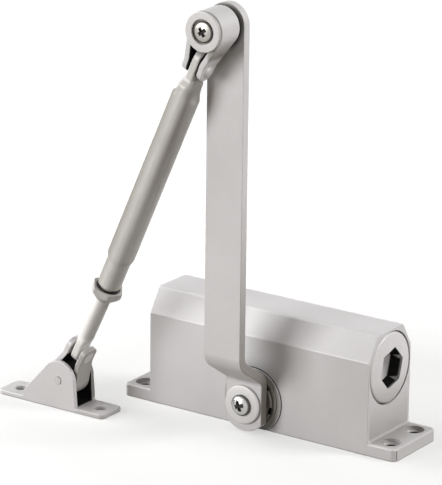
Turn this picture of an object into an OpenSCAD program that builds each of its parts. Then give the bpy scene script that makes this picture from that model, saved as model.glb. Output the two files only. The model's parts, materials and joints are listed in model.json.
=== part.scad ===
// Surface door closer with a two piece arm and a soffit shoe, in millimetres.
// The origin is the centre of the four body screws, on the mounting face.
// +X runs along the body to the spring end, -Y faces the arm, and +Z leaves the mounting face.
// The arm stands square to the body, and the forearm comes down to the shoe beside it.

/* [Body] */
// Length of the body between its end faces
body_l = 135; // [134:0.5:145]
// Width of the body from the arm side to the rear
body_w = 40; // [40:0.5:46]
// Height of the body above the mounting face
body_h = 62; // [62:0.5:68]
// Width of the flat top between the two long chamfers
top_w = 24; // [20:0.5:28]
// Height at which the long chamfers start
shoulder_h = 49.3; // [48:0.1:52]
// Bevel along the upright corners and the end edges
corner_bevel = 1; // [0.4:0.1:2]
// Length of each mounting flange
flange_l = 16.5; // [16:0.5:22]
// Thickness of the flanges
flange_t = 6.7; // [5:0.1:8]
// Corner radius of the flanges, seen from above
flange_r = 4.5; // [2:0.1:5]

/* [Body screws] */
// Distance between the screw holes along the body
hole_span_x = 152; // [151:0.5:156]
// Distance between the screw holes across the body
hole_span_y = 22.5; // [18:0.5:24]
// Diameter of the screw holes
screw_hole_d = 6; // [5:0.1:6.5]
// Diameter of the recess for the screw heads
screw_head_d = 10.8; // [9:0.1:11]
// Depth of the straight part of the recess
screw_head_t = 1.8; // [1:0.1:2.5]

/* [Cylinder] */
// Height of the cylinder axis above the mounting face
bore_z = 41.7; // [41.5:0.1:42.2]
// Diameter of the cylinder
bore_d = 34; // [33.6:0.1:34.4]
// Clearance of the piston in the cylinder, all round
piston_gap = 0.05; // [0.03:0.01:0.08]
// Gap between the piston and the pressure end plug with the door closed
end_gap = 0.8; // [0.5:0.1:1]
// Distance that the piston reaches past the spindle with the door closed
piston_tail = 11.5; // [11:0.5:14]
// Depth of the spring pocket in the piston
pocket_depth = 20; // [16:0.5:22]
// Diameter of the spring pocket
pocket_d = 23; // [22.5:0.1:24]

/* [End plugs] */
// Diameter of the recess that the plug heads sit in
plug_recess_d = 38.6; // [38:0.1:38.8]
// Depth of that recess
plug_recess_t = 4; // [3:0.1:5]
// Diameter of the plug heads
plug_head_d = 37.4; // [36.5:0.1:37.8]
// Height of the dome on the plug heads
plug_dome = 1.2; // [0.6:0.1:2]
// Diameter of the plug threads
plug_thread_d = 36.4; // [35.8:0.1:36.6]
// Length of the plug threads
plug_thread_l = 8; // [6:0.1:9]
// Length of the spring end plug's nose in the cylinder
nose_l = 4.2; // [3.6:0.1:5]
// Length of the pressure end plug's nose in the cylinder
short_nose_l = 3.2; // [3:0.1:3.4]
// Width of the hex socket across its flats
hex_af = 19; // [14:0.5:20]
// Depth of the hex socket below the dome
hex_depth = 9; // [6:0.5:10]
// Turn of the hex socket about the cylinder axis
hex_turn = 14; // [0:1:60]
// Thickness of the sealing rings on the plugs
plug_seal_t = 1.6; // [1.2:0.1:1.8]

/* [Spring] */
// Diameter of the spring wire
wire_d = 3.5; // [3:0.1:3.8]
// Outer diameter of the spring
spring_d = 22; // [20:0.1:22.2]
// Number of turns
spring_turns = 8; // [6:1:9]
// Thickness of the seat ring between the spring and its plug
seat_t = 1.5; // [1:0.1:2.5]

/* [Spindle] */
// Place of the spindle axis along the body
spindle_x = -2; // [-3:0.1:-1]
// Height of the spindle axis above the mounting face
spindle_z = 15.5; // [15.4:0.05:15.8]
// Tooth module of the pinion and the rack
tooth_m = 2; // [1.98:0.01:2.02]
// Play between the teeth, measured along the pitch line
tooth_play = 0.3; // [0.2:0.05:0.5]
// Length of the toothed part
gear_l = 14; // [10:0.5:16]
// Diameter of the spindle in its bearings
journal_d = 15; // [14:0.1:15.2]
// Clearance of the spindle in its bearings, all round
bearing_gap = 0.05; // [0.02:0.01:0.09]
// Width across the flats of the square that drives the arm
square_af = 10.5; // [9:0.1:10.6]
// Diameter of the thread of the spindle screw
spindle_screw_d = 6; // [5:0.1:7]
// Length of the spindle screw under its head
spindle_screw_l = 14; // [10:0.5:18]

/* [Bearing nuts] */
// Diameter of the gear chamber and of the nuts that close it
chamber_d = 25.2; // [25:0.1:25.6]
// Distance from the body's middle to the inner end of each nut
nut_inner_y = 10.8; // [10.8:0.1:11.5]
// Diameter of the nut flange on the face of the body
nut_flange_d = 30; // [28:0.1:30.4]
// Thickness of the nut flange
nut_flange_t = 1.6; // [1.2:0.1:2]
// Diameter of the notched ring in front of the flange
nut_ring_d = 26; // [24:0.1:27]
// Thickness of the notched ring
nut_ring_t = 1.4; // [1:0.1:1.8]
// Number of spanner notches in each nut
notch_n = 6; // [4:1:8]
// Width of a spanner notch
notch_w = 4; // [3:0.1:5]
// Outer diameter of the bearings and the shaft seals
bearing_d = 20; // [19:0.1:21]
// Length of the bearings
bearing_l = 7; // [5:0.1:7.4]
// Thickness of the sealing rings under the nut flanges
nut_seal_t = 1.2; // [0.8:0.1:1.4]

/* [Speed valves] */
// Distance of the closing speed valve from the pressure end face
closing_valve_in = 33.5; // [30:0.5:35]
// Distance of the latching speed valve from the pressure end face
latching_valve_in = 17.5; // [17:0.5:20]
// Height of both valves above the mounting face
valve_z = 15.5; // [13:0.1:17]
// Diameter of the valve screws
valve_d = 7; // [6:0.1:8]
// Length of the valve screws
valve_l = 15; // [12:0.1:17]
// Diameter of the oil passages
oil_d = 2.5; // [1.5:0.1:3]

/* [Main arm] */
// Width of the arm
arm_w = 22; // [20:0.5:24]
// Thickness of the arm
arm_t = 5; // [4:0.1:5.5]
// Distance between the spindle and the elbow
arm_l = 204.5; // [195:0.5:225]
// Gap between the bearing nut and the back of the arm
arm_gap = 1; // [0.6:0.1:2]
// Distance that the arm steps away from the body
arm_step = 20.5; // [15:0.5:24]
// Height of the lower edge of the step above the spindle
step_z = 13; // [12:0.5:20]
// Height over which the arm makes the step
step_h = 13.5; // [12:0.5:24]
// Radius of the arm's lower end about the spindle
arm_end_r = 14.5; // [12.5:0.1:14.8]
// Diameter of the washers on the spindle and on the elbow
washer_d = 20.6; // [18:0.1:21]
// Thickness of those washers
washer_t = 2; // [1.2:0.1:2.5]
// Diameter of the spindle screw's head
screw_top_d = 11.4; // [10.6:0.1:13]

/* [Elbow] */
// Diameter of the elbow pin
elbow_pin_d = 10; // [8:0.1:11]
// Thickness of the spacer between the arm and the clevis
spacer_t = 2.5; // [1.5:0.1:4]
// Diameter of the clevis barrel
barrel_d = 20.6; // [19:0.1:22]
// Length of the clevis barrel
barrel_l = 15.2; // [13:0.1:18]
// Distance from the elbow axis to the rivet
clevis_reach = 22.5; // [21.5:0.1:26]
// Thickness of the clevis ears
ear_t = 3.1; // [2.5:0.1:3.6]
// Gap between the clevis ears
ear_gap = 6.6; // [6.2:0.1:7]
// Radius of the ear ends about the rivet
ear_end_r = 5.4; // [5:0.1:6]
// Offset of the elbow rivet towards the body from the barrel's middle
rivet_back = 1; // [0:0.1:1.5]
// Diameter of the elbow and foot rivets
rivet_d = 5; // [4:0.1:5.5]

/* [Forearm] */
// Distance along the tube from the rivet to its free end
tube_l = 141; // [130:0.5:160]
// Outer diameter of the tube
tube_d = 14.5; // [13.6:0.1:15]
// Outer diameter of the tube's swaged neck
neck_d = 12.4; // [12:0.1:13]
// Length of the neck
neck_l = 21; // [18:0.5:26]
// Wall of the tube
tube_wall = 1.8; // [1.4:0.1:2]
// Thickness of the flattened ends of the tube and the rod
tang_t = 4.8; // [4.6:0.1:5.6]
// Width of the tube's flattened end
tang_w = 10; // [9:0.1:10.6]
// Diameter of the adjusting rod
rod_d = 7.9; // [7:0.1:8]
// Length of the rod inside the tube
rod_inside = 52; // [45:0.5:60]
// Width of the lock nut across its flats
nut_af = 15; // [14:0.5:16]
// Height of the lock nut
nut_h = 7.2; // [6:0.1:9]
// Distance from the lock nut to the rod's bend
bend_drop = 3; // [2.5:0.1:6]
// Distance from the rod's bend to the foot rivet
rod_drop = 34.6; // [31:0.1:40]
// Angle of the rod's bend
rod_bend = 2; // [1:0.1:6]
// Width of the rod's flattened end
tongue_w = 9.6; // [9:0.1:10]
// Sideways lean of the forearm towards the body
side_lean = 3.1; // [0:0.1:5]

/* [Foot link and shoe] */
// Distance from the shoe pin to the foot rivet
link_reach = 17.2; // [15.4:0.1:18]
// Diameter of the link barrel
link_barrel_d = 19.2; // [17:0.1:20]
// Length of the link barrel
link_barrel_l = 12.2; // [12:0.1:12.4]
// Radius of the link's ear ends about the rivet
link_end_r = 5; // [4.8:0.1:6]
// Diameter of the shoe pin
shoe_pin_d = 5; // [4:0.1:5.5]
// Outer diameter of the bush on the shoe pin
foot_bush_d = 9; // [8:0.1:10]
// Height of the shoe pin above the shoe's mounting face
shoe_pin_h = 15.8; // [15.5:0.1:18]
// Length of the shoe's base
shoe_l = 68.5; // [66:0.5:76]
// Distance from the shoe pin to the shoe's near end
shoe_near = 29; // [28:0.5:32]
// Gap between the shoe's ears
shoe_gap = 13; // [12.8:0.1:13.4]
// Thickness of the shoe's sheet
shoe_t = 2.5; // [2:0.1:3]
// Corner radius of the shoe's base
shoe_r = 4; // [2:0.1:5]
// Radius of the round top of the shoe's ears
shoe_top_r = 10; // [9.5:0.1:10.5]
// Distance between the shoe's two screw holes
shoe_span = 51.5; // [50:0.5:54]
// Distance from the shoe pin to the nearer screw hole
shoe_hole_near = 21.3; // [20:0.1:22]
// Diameter of the shoe's screw holes
shoe_hole_d = 7; // [6:0.1:7.5]

/* [Hidden] */
$fn = 64;
tooth_n = 10;
fit = 0.05;
play = 0.3;
through = 100;
rim_share = 0.35;
satin = [0.74, 0.72, 0.69];
bright = [0.82, 0.82, 0.82];
steel = [0.62, 0.61, 0.59];
dark = [0.12, 0.12, 0.12];
brass = [0.72, 0.6, 0.34];

// Body
half_l = body_l / 2;
half_w = body_w / 2;
thread_in = plug_recess_t + plug_thread_l;
notch_depth = 1.6;
notch_turn = 15;
seat_cone_t = 1.6;
seat_step = 0.7;

// Cylinder, piston and spring
bore_r = bore_d / 2;
piston_r = bore_r - piston_gap;
piston_x = thread_in + short_nose_l + end_gap - half_l;
piston_l = spindle_x + piston_tail - piston_x;
pocket_x = piston_x + piston_l - pocket_depth;
seat_x = half_l - thread_in - nose_l - seat_t;
wire_r = wire_d / 2;
coil_r = spring_d / 2 - wire_r;
spring_x0 = pocket_x + wire_r + 0.05;
spring_x1 = seat_x - wire_r - 0.05;
groove_w = plug_seal_t + 0.3;
seal_inset = 0.9;
ball_r = 2.5;
ball_seat_r = 1.5;
ball_chamber_r = 2.8;
ball_chamber_l = 8;
retainer_t = 2;
ball_x = piston_x + ball_chamber_l - sqrt(ball_r * ball_r - ball_seat_r * ball_seat_r) - 0.1;

// Pinion and rack
pitch_r = tooth_m * tooth_n / 2;
pressure_angle = 20;
base_r = pitch_r * cos(pressure_angle);
tip_r = pitch_r + tooth_m;
root_r = pitch_r - 1.15 * tooth_m;
tooth_pitch = PI * tooth_m;
rack_z = spindle_z + pitch_r;
rack_depth = 1.15 * tooth_m;
collar_r = 9.2;
core_r = root_r - 0.1;
collar_y = nut_inner_y - 0.4;
arm_back = half_w + nut_flange_t + nut_ring_t + arm_gap;
arm_front = arm_back + arm_t;
square_end = arm_front - 0.4;
journal_r = journal_d / 2;
rear_end = half_w + 0.8;

// Bearing nuts
nut_face = half_w + nut_flange_t + nut_ring_t;
lip = 0.8;
lip_gap = 0.7;
bearing_in = nut_inner_y + 0.2;
bearing_out = bearing_in + bearing_l;
seal_in = bearing_out + lip;
front_seal_l = nut_face - seal_in - 0.4;
rear_seal_l = rear_end - seal_in;
cap_t = 1.9;

// Valves
closing_valve_x = closing_valve_in - half_l;
latching_valve_x = latching_valve_in - half_l;
valve_gap = 0.03;
valve_tip = 2.2;
valve_head_in = 0.6;
valve_ring_in = 5;
valve_seal_t = 1.2;
valve_slot_w = 1.2;
valve_slot_t = 1.4;

// Arm and elbow
upper_front = arm_front + arm_step;
elbow_z = spindle_z + arm_l;
barrel_back = upper_front + spacer_t + play;
barrel_mid = barrel_back + barrel_l / 2;
barrel_front = barrel_back + barrel_l;
washer_back = barrel_front + play;
elbow_pin_r = elbow_pin_d / 2;
bush_r = elbow_pin_r + 1.5;
screw_top_t = 3;
cross_size = 5.6;
cross_depth = 2;
pin_head_t = 1.2;
pin_head_r = elbow_pin_r + 2.5;
elbow_screw_d = 5;
elbow_screw_l = 11;
cup_d = 12.6;
cup_t = 1.2;
head_d = 11.2;
head_t = 2;
key_d = 4.6;
key_z = 0.4;

// Forearm, with every place measured along it
tang_end = 9.5;
shoulder_in = 7;
shoulder_out = 12;
tang_bore = 17;
neck_taper = 5;
nut_gap = 1.1;
bend_s = tube_l + nut_gap + nut_h + bend_drop;
tongue_end = 5;
tongue_in = 6.5;
tongue_out = 11;
ear_out = ear_gap / 2 + ear_t;
rivet_head_t = 1.4;
rivet_head_r = 3.4;
knee_gap = 0.3;
fork_flare = 0.8;
nut_cone_share = 0.65;
nut_rim_share = 1.12;

// Shoe ears, from the pin
ear_far = 23;
ear_near = 11.5;
ear_foot_h = 5.2;
ear_top = [0.3, 0.6];
ear_top_from = 44;

// Lean of the forearm, from the height that the shoe has to stand at
side_cos = cos(side_lean);
reach_a = clevis_reach + bend_s * side_cos;
reach_b = rod_drop * side_cos + link_reach;
reach_x = reach_b * sin(rod_bend);
reach_z = reach_a + reach_b * cos(rod_bend);
reach = sqrt(reach_x * reach_x + reach_z * reach_z);
lean = acos((elbow_z - shoe_pin_h) / reach) - atan2(reach_x, reach_z);
low_lean = lean + rod_bend;

// A unit step along the forearm that leans by a, and sideways by b
function along(a, b) = [-sin(a) * cos(b), sin(b), -cos(a) * cos(b)];

elbow_at = [spindle_x, -barrel_mid, elbow_z];
rivet_at = elbow_at + [0, rivet_back, 0] + clevis_reach * along(lean, 0);
bend_at = rivet_at + bend_s * along(lean, side_lean);
foot_at = bend_at + rod_drop * along(low_lean, side_lean);
pin_at = foot_at + link_reach * along(low_lean, 0);

module at_elbow() { translate(elbow_at) rotate([0, lean, 0]) children(); }
module at_forearm() { translate(rivet_at) rotate([side_lean, lean, 0]) children(); }
module at_rod_end() { translate(foot_at) rotate([side_lean, low_lean, 0]) children(); }
module at_link() { translate(pin_at) rotate([0, low_lean, 0]) children(); }
module at_shoe() { translate([pin_at[0], pin_at[1], 0]) children(); }

// Cylinder along +X from x, about the cylinder axis
module bore_part(x, l, r, z = bore_z) {
    translate([x, 0, z]) rotate([0, 90, 0]) cylinder(h = l, r = r);
}

// Cylinder from y out to the arm side (side -1) or to the rear (side 1)
module spindle_part(y, l, r, side = -1, x = spindle_x, z = spindle_z) {
    translate([x, side * y, z]) rotate([side * -90, 0, 0]) cylinder(h = l, r = r);
}

// Ring seal with its axis along X or along Y
module seal_ring(r, t, at, turn) {
    translate(at) rotate(turn) rotate_extrude() translate([r, 0]) circle(d = t, $fn = 24);
}

// Rectangle with round corners, in plan
module round_plate(l, w, r, h) {
    linear_extrude(h) union() {
        square([l - 2 * r, w], center = true);
        square([l, w - 2 * r], center = true);
        for (sx = [-1, 1], sy = [-1, 1])
            translate([sx * (l / 2 - r), sy * (w / 2 - r)]) circle(r);
    }
}

// Arc of a dome of height h over a disc of radius r, from its middle to its rim
function dome_arc(r, h, z) = let (ball = (r * r + h * h) / (2 * h), half = asin(r / ball))
    [for (k = [0 : 8]) [ball * sin(half * k / 8), z + h - ball * (1 - cos(half * k / 8))]];

// Round head with a domed face and an upright rim, base at z = 0, height h
module domed_head(r, h) {
    rim = h * rim_share;
    rotate_extrude() polygon(concat([[0, 0]], dome_arc(r, h - rim, rim), [[r, 0]]));
}

// Cross shaped driver recess, cut downwards from z = 0
module cross_recess(size, depth) {
    for (turn = [0, 90])
        rotate(turn) translate([-size / 2, -size / 8, -depth]) cube([size, size / 4, depth + 3]);
}

// Cross section of the body, in Y and Z
module body_section() {
    polygon([
        [-half_w, 0], [half_w, 0], [half_w, shoulder_h],
        [top_w / 2, body_h], [-top_w / 2, body_h], [-half_w, shoulder_h]
    ]);
}

// Plan of the body block, with its upright corners bevelled
module body_plan() {
    b = corner_bevel;
    polygon([
        [-half_l, b - half_w], [b - half_l, -half_w], [half_l - b, -half_w], [half_l, b - half_w],
        [half_l, half_w - b], [half_l - b, half_w], [b - half_l, half_w], [-half_l, half_w - b]
    ]);
}

module oil_passages() {
    reach_in = half_w - valve_l - valve_head_in;
    for (x = [closing_valve_x, latching_valve_x]) {
        translate([x, reach_in - valve_tip / 2, valve_z])
            cylinder(h = bore_z - bore_r + 1 - valve_z, d = oil_d);
        spindle_part(-valve_tip, reach_in + 2 * valve_tip, oil_d / 2, 1, x, valve_z);
    }
    translate([latching_valve_x, -valve_tip + oil_d / 2, valve_z]) rotate([0, 90, 0])
        cylinder(h = spindle_x - chamber_d / 4 - latching_valve_x, d = oil_d);
}

module housing() {
    color(satin) difference() {
        union() {
            intersection() {
                rotate([90, 0, 90]) translate([0, 0, -half_l]) linear_extrude(body_l) body_section();
                linear_extrude(body_h) body_plan();
            }
            round_plate(body_l + 2 * flange_l, body_w, flange_r, flange_t);
        }
        bore_part(-through, 2 * through, bore_r);
        for (side = [-1, 1]) mirror([side < 0 ? 1 : 0, 0, 0]) {
            bore_part(half_l - thread_in, through, plug_thread_d / 2 + fit);
            bore_part(half_l - plug_recess_t, through, plug_recess_d / 2);
        }
        spindle_part(-through, 2 * through, chamber_d / 2);
        for (side = [-1, 1]) seal_groove(side);
        for (x = [closing_valve_x, latching_valve_x])
            spindle_part(half_w - valve_l - valve_head_in, through, valve_d / 2 + valve_gap, 1, x, valve_z);
        oil_passages();
        for (sx = [-1, 1], sy = [-1, 1]) translate([sx * hole_span_x / 2, sy * hole_span_y / 2, 0]) {
            translate([0, 0, -1]) cylinder(h = flange_t + 2, d = screw_hole_d);
            translate([0, 0, flange_t - screw_head_t]) cylinder(h = screw_head_t + 1, d = screw_head_d);
            translate([0, 0, flange_t - screw_head_t - seat_cone_t])
                cylinder(h = seat_cone_t + 0.01, d1 = screw_hole_d, d2 = screw_head_d - 2 * seat_step);
        }
    }
}

// Groove in the body's face for the ring under a nut flange
module seal_groove(side) {
    groove_l = nut_seal_t + 0.02;
    spindle_part(half_w - groove_l, groove_l + 1, chamber_d / 2 + nut_seal_t + 0.02, side);
}

// End plug on the +X side, with its nose and its hex socket
module end_plug(nose) {
    inner = half_l - thread_in - nose;
    head_in = half_l - plug_recess_t + fit;
    difference() {
        union() {
            bore_part(inner, nose + 1, bore_r - fit);
            bore_part(half_l - thread_in + fit, plug_thread_l, plug_thread_d / 2);
            translate([head_in, 0, bore_z]) rotate([0, 90, 0]) rotate_extrude() polygon(concat(
                [[0, 0]], dome_arc(plug_head_d / 2, plug_dome, half_l - head_in), [[plug_head_d / 2, 0]]
            ));
        }
        difference() {
            bore_part(inner + seal_inset, groove_w, bore_r + 1);
            bore_part(inner, nose + 1, bore_r - plug_seal_t - fit);
        }
        translate([half_l + plug_dome - hex_depth, 0, bore_z]) rotate([hex_turn, 0, 0]) rotate([0, 90, 0])
            rotate(90) cylinder(h = hex_depth + 1, d = hex_af / cos(30), $fn = 6);
    }
}

module spring_end_plug() { color(satin) end_plug(nose_l); }
module pressure_end_plug() { color(satin) mirror([1, 0, 0]) end_plug(short_nose_l); }

module plug_seal(nose) {
    x = half_l - thread_in - nose + seal_inset + groove_w / 2;
    seal_ring(bore_r - plug_seal_t / 2 - fit / 2, plug_seal_t, [x, 0, bore_z], [0, 90, 0]);
}

module spring_end_seal() { color(dark) plug_seal(nose_l); }
module pressure_end_seal() { color(dark) mirror([1, 0, 0]) plug_seal(short_nose_l); }

module bearing_nut(side) {
    notch_y = min(side * (half_w + nut_flange_t), side * through);
    difference() {
        union() {
            spindle_part(nut_inner_y, half_w - nut_inner_y + 0.5, chamber_d / 2 - fit, side);
            spindle_part(half_w, nut_flange_t, nut_flange_d / 2, side);
            spindle_part(half_w, nut_flange_t + nut_ring_t, nut_ring_d / 2, side);
        }
        spindle_part(nut_inner_y - 1, bearing_out - nut_inner_y + 1, bearing_d / 2 + 0.02, side);
        spindle_part(nut_inner_y, half_w, journal_r + lip_gap, side);
        spindle_part(seal_in, half_w, bearing_d / 2 + 0.02, side);
        for (k = [0 : notch_n - 1])
            translate([spindle_x, 0, spindle_z]) rotate([0, 360 / notch_n * k + notch_turn, 0])
                translate([nut_ring_d / 2 - notch_depth, notch_y, -notch_w / 2])
                    cube([notch_depth + 2, through, notch_w]);
    }
}

module front_bearing_nut() { color(satin) bearing_nut(-1); }
module rear_bearing_nut() { color(satin) bearing_nut(1); }

module nut_seal(side) {
    y = side * (half_w - nut_seal_t / 2 - 0.01);
    seal_ring(chamber_d / 2 + nut_seal_t / 2, nut_seal_t, [spindle_x, y, spindle_z], [90, 0, 0]);
}

module front_nut_seal() { color(dark) nut_seal(-1); }
module rear_nut_seal() { color(dark) nut_seal(1); }

module spindle_ring(y, l, outer_d, inner_d, side) {
    difference() {
        spindle_part(y, l, outer_d / 2, side);
        spindle_part(y - 1, l + 2, inner_d / 2, side);
    }
}

// Bearing or seal of length l round the spindle's journal
module journal_ring(y, l, side) {
    spindle_ring(y, l, bearing_d, journal_d + 2 * bearing_gap, side);
}

module front_bearing() { color(steel) journal_ring(bearing_in, bearing_l, -1); }
module rear_bearing() { color(steel) journal_ring(bearing_in, bearing_l, 1); }
module front_shaft_seal() { color(dark) journal_ring(seal_in, front_seal_l, -1); }
module rear_shaft_seal() { color(dark) journal_ring(seal_in, rear_seal_l, 1); }

module rear_dust_cap() {
    color(satin) translate([spindle_x, nut_face + 0.6 - cap_t, spindle_z]) rotate([-90, 0, 0])
        domed_head(bearing_d / 2, cap_t);
}

// Valve screw in the rear face: conical tip, ring groove and slotted head
module speed_valve(x) {
    y0 = half_w - valve_l - valve_head_in;
    groove_y = half_w - valve_ring_in;
    groove_l = valve_seal_t + 0.3;
    difference() {
        union() {
            spindle_part(y0 + valve_tip, valve_l - valve_tip, valve_d / 2, 1, x, valve_z);
            translate([x, y0, valve_z]) rotate([-90, 0, 0]) cylinder(h = valve_tip, d1 = 2, d2 = valve_d);
        }
        difference() {
            spindle_part(groove_y, groove_l, valve_d, 1, x, valve_z);
            spindle_part(groove_y - 1, groove_l + 2, valve_d / 2 - valve_seal_t - fit, 1, x, valve_z);
        }
        translate([x - valve_slot_w / 2, half_w - valve_head_in - valve_slot_t, valve_z - valve_d])
            cube([valve_slot_w, valve_slot_t + 1, 2 * valve_d]);
    }
}

module closing_speed_valve() { color(brass) speed_valve(closing_valve_x); }
module latching_speed_valve() { color(brass) speed_valve(latching_valve_x); }

module valve_seal(x) {
    y = half_w - valve_ring_in + valve_seal_t / 2 + 0.15;
    seal_ring((valve_d - valve_seal_t) / 2, valve_seal_t, [x, y, valve_z], [90, 0, 0]);
}

module closing_valve_seal() { color(dark) valve_seal(closing_valve_x); }
module latching_valve_seal() { color(dark) valve_seal(latching_valve_x); }

// Involute pinion, with one tooth pointing to +Z
function involute(r) = tan(acos(base_r / r)) * 180 / PI - acos(base_r / r);
function half_tooth(r) = (90 - tooth_play * 90 / tooth_pitch) / tooth_n
    + involute(pitch_r) - involute(max(r, base_r));
flank_n = 6;
flank_r = concat([root_r], [for (k = [0 : flank_n]) base_r + (tip_r - base_r) * k / flank_n]);
function on_circle(r, a) = [r * sin(a), r * cos(a)];

module pinion_outline() {
    polygon([for (k = [0 : tooth_n - 1]) each concat(
        [for (r = flank_r) on_circle(r, 360 / tooth_n * k - half_tooth(r))],
        [for (j = [flank_n + 1 : -1 : 0]) on_circle(flank_r[j], 360 / tooth_n * k + half_tooth(flank_r[j]))]
    )]);
}

module pinion() {
    color(steel) difference() {
        union() {
            translate([spindle_x, gear_l / 2, spindle_z]) rotate([90, 0, 0]) linear_extrude(gear_l)
                pinion_outline();
            spindle_part(-collar_y, 2 * collar_y, core_r);
            for (side = [-1, 1]) spindle_part(gear_l / 2, collar_y - gear_l / 2, collar_r, side);
            spindle_part(-rear_end, rear_end + arm_back, journal_r);
            translate([spindle_x - square_af / 2, -square_end, spindle_z - square_af / 2])
                cube([square_af, square_end - half_w, square_af]);
        }
        spindle_part(square_end - spindle_screw_l - 2, through, spindle_screw_d / 2 + fit);
    }
}

module piston() {
    color(steel) difference() {
        bore_part(piston_x, piston_l, piston_r);
        bore_part(pocket_x, pocket_depth + 1, pocket_d / 2);
        bore_part(piston_x - 1, ball_chamber_l + 1, ball_chamber_r);
        bore_part(piston_x, piston_l, ball_seat_r);
        for (k = [-6 : 1]) translate([spindle_x + k * tooth_pitch, 0, rack_z]) rack_space();
    }
}

module rack_space() {
    slope = tan(pressure_angle);
    w = tooth_pitch / 2;
    rotate([90, 0, 0]) translate([0, 0, -bore_r]) linear_extrude(bore_d) polygon([
        [-w / 2 - rack_depth * slope, -rack_depth], [w / 2 + rack_depth * slope, -rack_depth],
        [w / 2 - rack_depth * slope, rack_depth], [-w / 2 + rack_depth * slope, rack_depth]
    ]);
}

module check_valve_ball() { color(bright) translate([ball_x, 0, bore_z]) sphere(ball_r); }

module check_valve_retainer() {
    color(brass) difference() {
        bore_part(piston_x, retainer_t, ball_chamber_r - 0.02);
        bore_part(piston_x - 1, retainer_t + 2, ball_seat_r * 0.8);
    }
}

// Round wire along a helix about the cylinder axis, as one tube
rings = 8;
wire_sides = 6;
function helix_at(u, n) = let (a = 360 * u * n)
    [spring_x0 + (spring_x1 - spring_x0) * u, coil_r * sin(a), bore_z + coil_r * cos(a)];
function wire_point(u, n, a) = let (t = 360 * u * n)
    helix_at(u, n) + wire_r * [sin(a), cos(a) * sin(t), cos(a) * cos(t)];

module closing_spring() {
    steps = rings * spring_turns;
    pts = [for (i = [0 : steps], k = [0 : wire_sides - 1])
        wire_point(i / steps, spring_turns, 360 * k / wire_sides)];
    sides = [for (i = [0 : steps - 1], k = [0 : wire_sides - 1])
        let (a = i * wire_sides + k, b = i * wire_sides + (k + 1) % wire_sides)
        each [[a, a + wire_sides, b], [b, a + wire_sides, b + wire_sides]]];
    first = [for (k = [1 : wire_sides - 2]) [0, k, k + 1]];
    last_at = steps * wire_sides;
    last = [for (k = [1 : wire_sides - 2]) [last_at, last_at + k + 1, last_at + k]];
    color(steel) polyhedron(pts, concat(sides, first, last), convexity = 20);
}
echo(spring_gap = (spring_x1 - spring_x0) / spring_turns - wire_d);

module spring_seat() {
    color(steel) difference() {
        bore_part(seat_x, seat_t, spring_d / 2 + 1);
        bore_part(seat_x - 1, seat_t + 2, coil_r - wire_r);
    }
}

// Point of a bend that starts upright at y, z and has turned by a; r is below zero for the low bend
function bend_point(y, z, r, a) = [y + r * (1 - cos(a)), z - r * sin(a)];

// Side view of the arm: Y forwards and Z up from the spindle
module arm_side() {
    top = arm_l + arm_w;
    low_y = -arm_back;
    up_y = low_y - arm_step;
    z0 = step_z;
    z1 = step_z + step_h;
    r_low = 3.5;
    r_up = 10;
    bend = atan2(arm_step, step_h);
    low_z = z0 - r_low * tan(bend / 2);
    up_z = z1 + r_up * tan(bend / 2);
    front_low = low_y - arm_t;
    front_up = up_y - arm_t;
    // The back face is convex at the low bend and concave at the top bend
    back = concat(
        [[low_y, -arm_end_r - 2]],
        [for (a = [0 : bend / 6 : bend]) bend_point(low_y, low_z, -r_low - arm_t, a)],
        [for (a = [bend : -bend / 8 : 0]) bend_point(up_y, up_z, r_up - arm_t, a)],
        [[up_y, top]]
    );
    front = concat(
        [[front_up, top]],
        [for (a = [0 : bend / 8 : bend]) bend_point(front_up, up_z, r_up, a)],
        [for (a = [bend : -bend / 6 : 0]) bend_point(front_low, low_z, -r_low, a)],
        [[front_low, -arm_end_r - 2]]
    );
    polygon(concat(back, front));
}

// Front view of the arm, about the spindle
module arm_front_view() {
    intersection() {
        translate([-arm_w / 2, -arm_end_r - 1]) square([arm_w, arm_l + arm_end_r + 1]);
        union() {
            circle(arm_end_r);
            translate([-arm_w / 2, 0]) square([arm_w, arm_l]);
        }
    }
    translate([0, arm_l]) circle(arm_w / 2);
}

module main_arm() {
    hole = square_af + 2 * fit;
    color(satin) translate([spindle_x, 0, spindle_z]) difference() {
        intersection() {
            rotate([90, 0, 90]) translate([0, 0, -arm_w / 2]) linear_extrude(arm_w) arm_side();
            rotate([90, 0, 0]) linear_extrude(through) arm_front_view();
        }
        translate([-hole / 2, -arm_front - 1, -hole / 2]) cube([hole, arm_t + 2, hole]);
        translate([0, -upper_front - 1, arm_l]) rotate([-90, 0, 0])
            cylinder(h = arm_t + 2, r = elbow_pin_r + 0.03);
    }
}

module spindle_washer() {
    color(bright) spindle_ring(arm_front, washer_t, washer_d, spindle_screw_d + 0.4, -1);
}

module spindle_screw() {
    shank = spindle_screw_l + washer_t;
    color(bright) translate([spindle_x, -arm_front - washer_t, spindle_z]) rotate([90, 0, 0]) difference() {
        union() {
            domed_head(screw_top_d / 2, screw_top_t);
            translate([0, 0, -shank]) cylinder(h = shank + 1, d = spindle_screw_d);
        }
        translate([0, 0, screw_top_t]) cross_recess(cross_size, cross_depth);
    }
}

module elbow_part(y, l, r) { spindle_part(y, l, r, -1, spindle_x, elbow_z); }

module elbow_pin() {
    arm_rear = upper_front - arm_t;
    color(steel) difference() {
        union() {
            elbow_part(arm_rear - pin_head_t, pin_head_t, pin_head_r);
            elbow_part(arm_rear - pin_head_t, washer_back - arm_rear + pin_head_t, elbow_pin_r);
        }
        elbow_part(washer_back - elbow_screw_l - 1, elbow_screw_l + 2, elbow_screw_d / 2 + fit);
    }
}

module elbow_ring(y, l, outer_d, inner_d) {
    difference() {
        elbow_part(y, l, outer_d / 2);
        elbow_part(y - 1, l + 2, inner_d / 2);
    }
}

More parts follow.
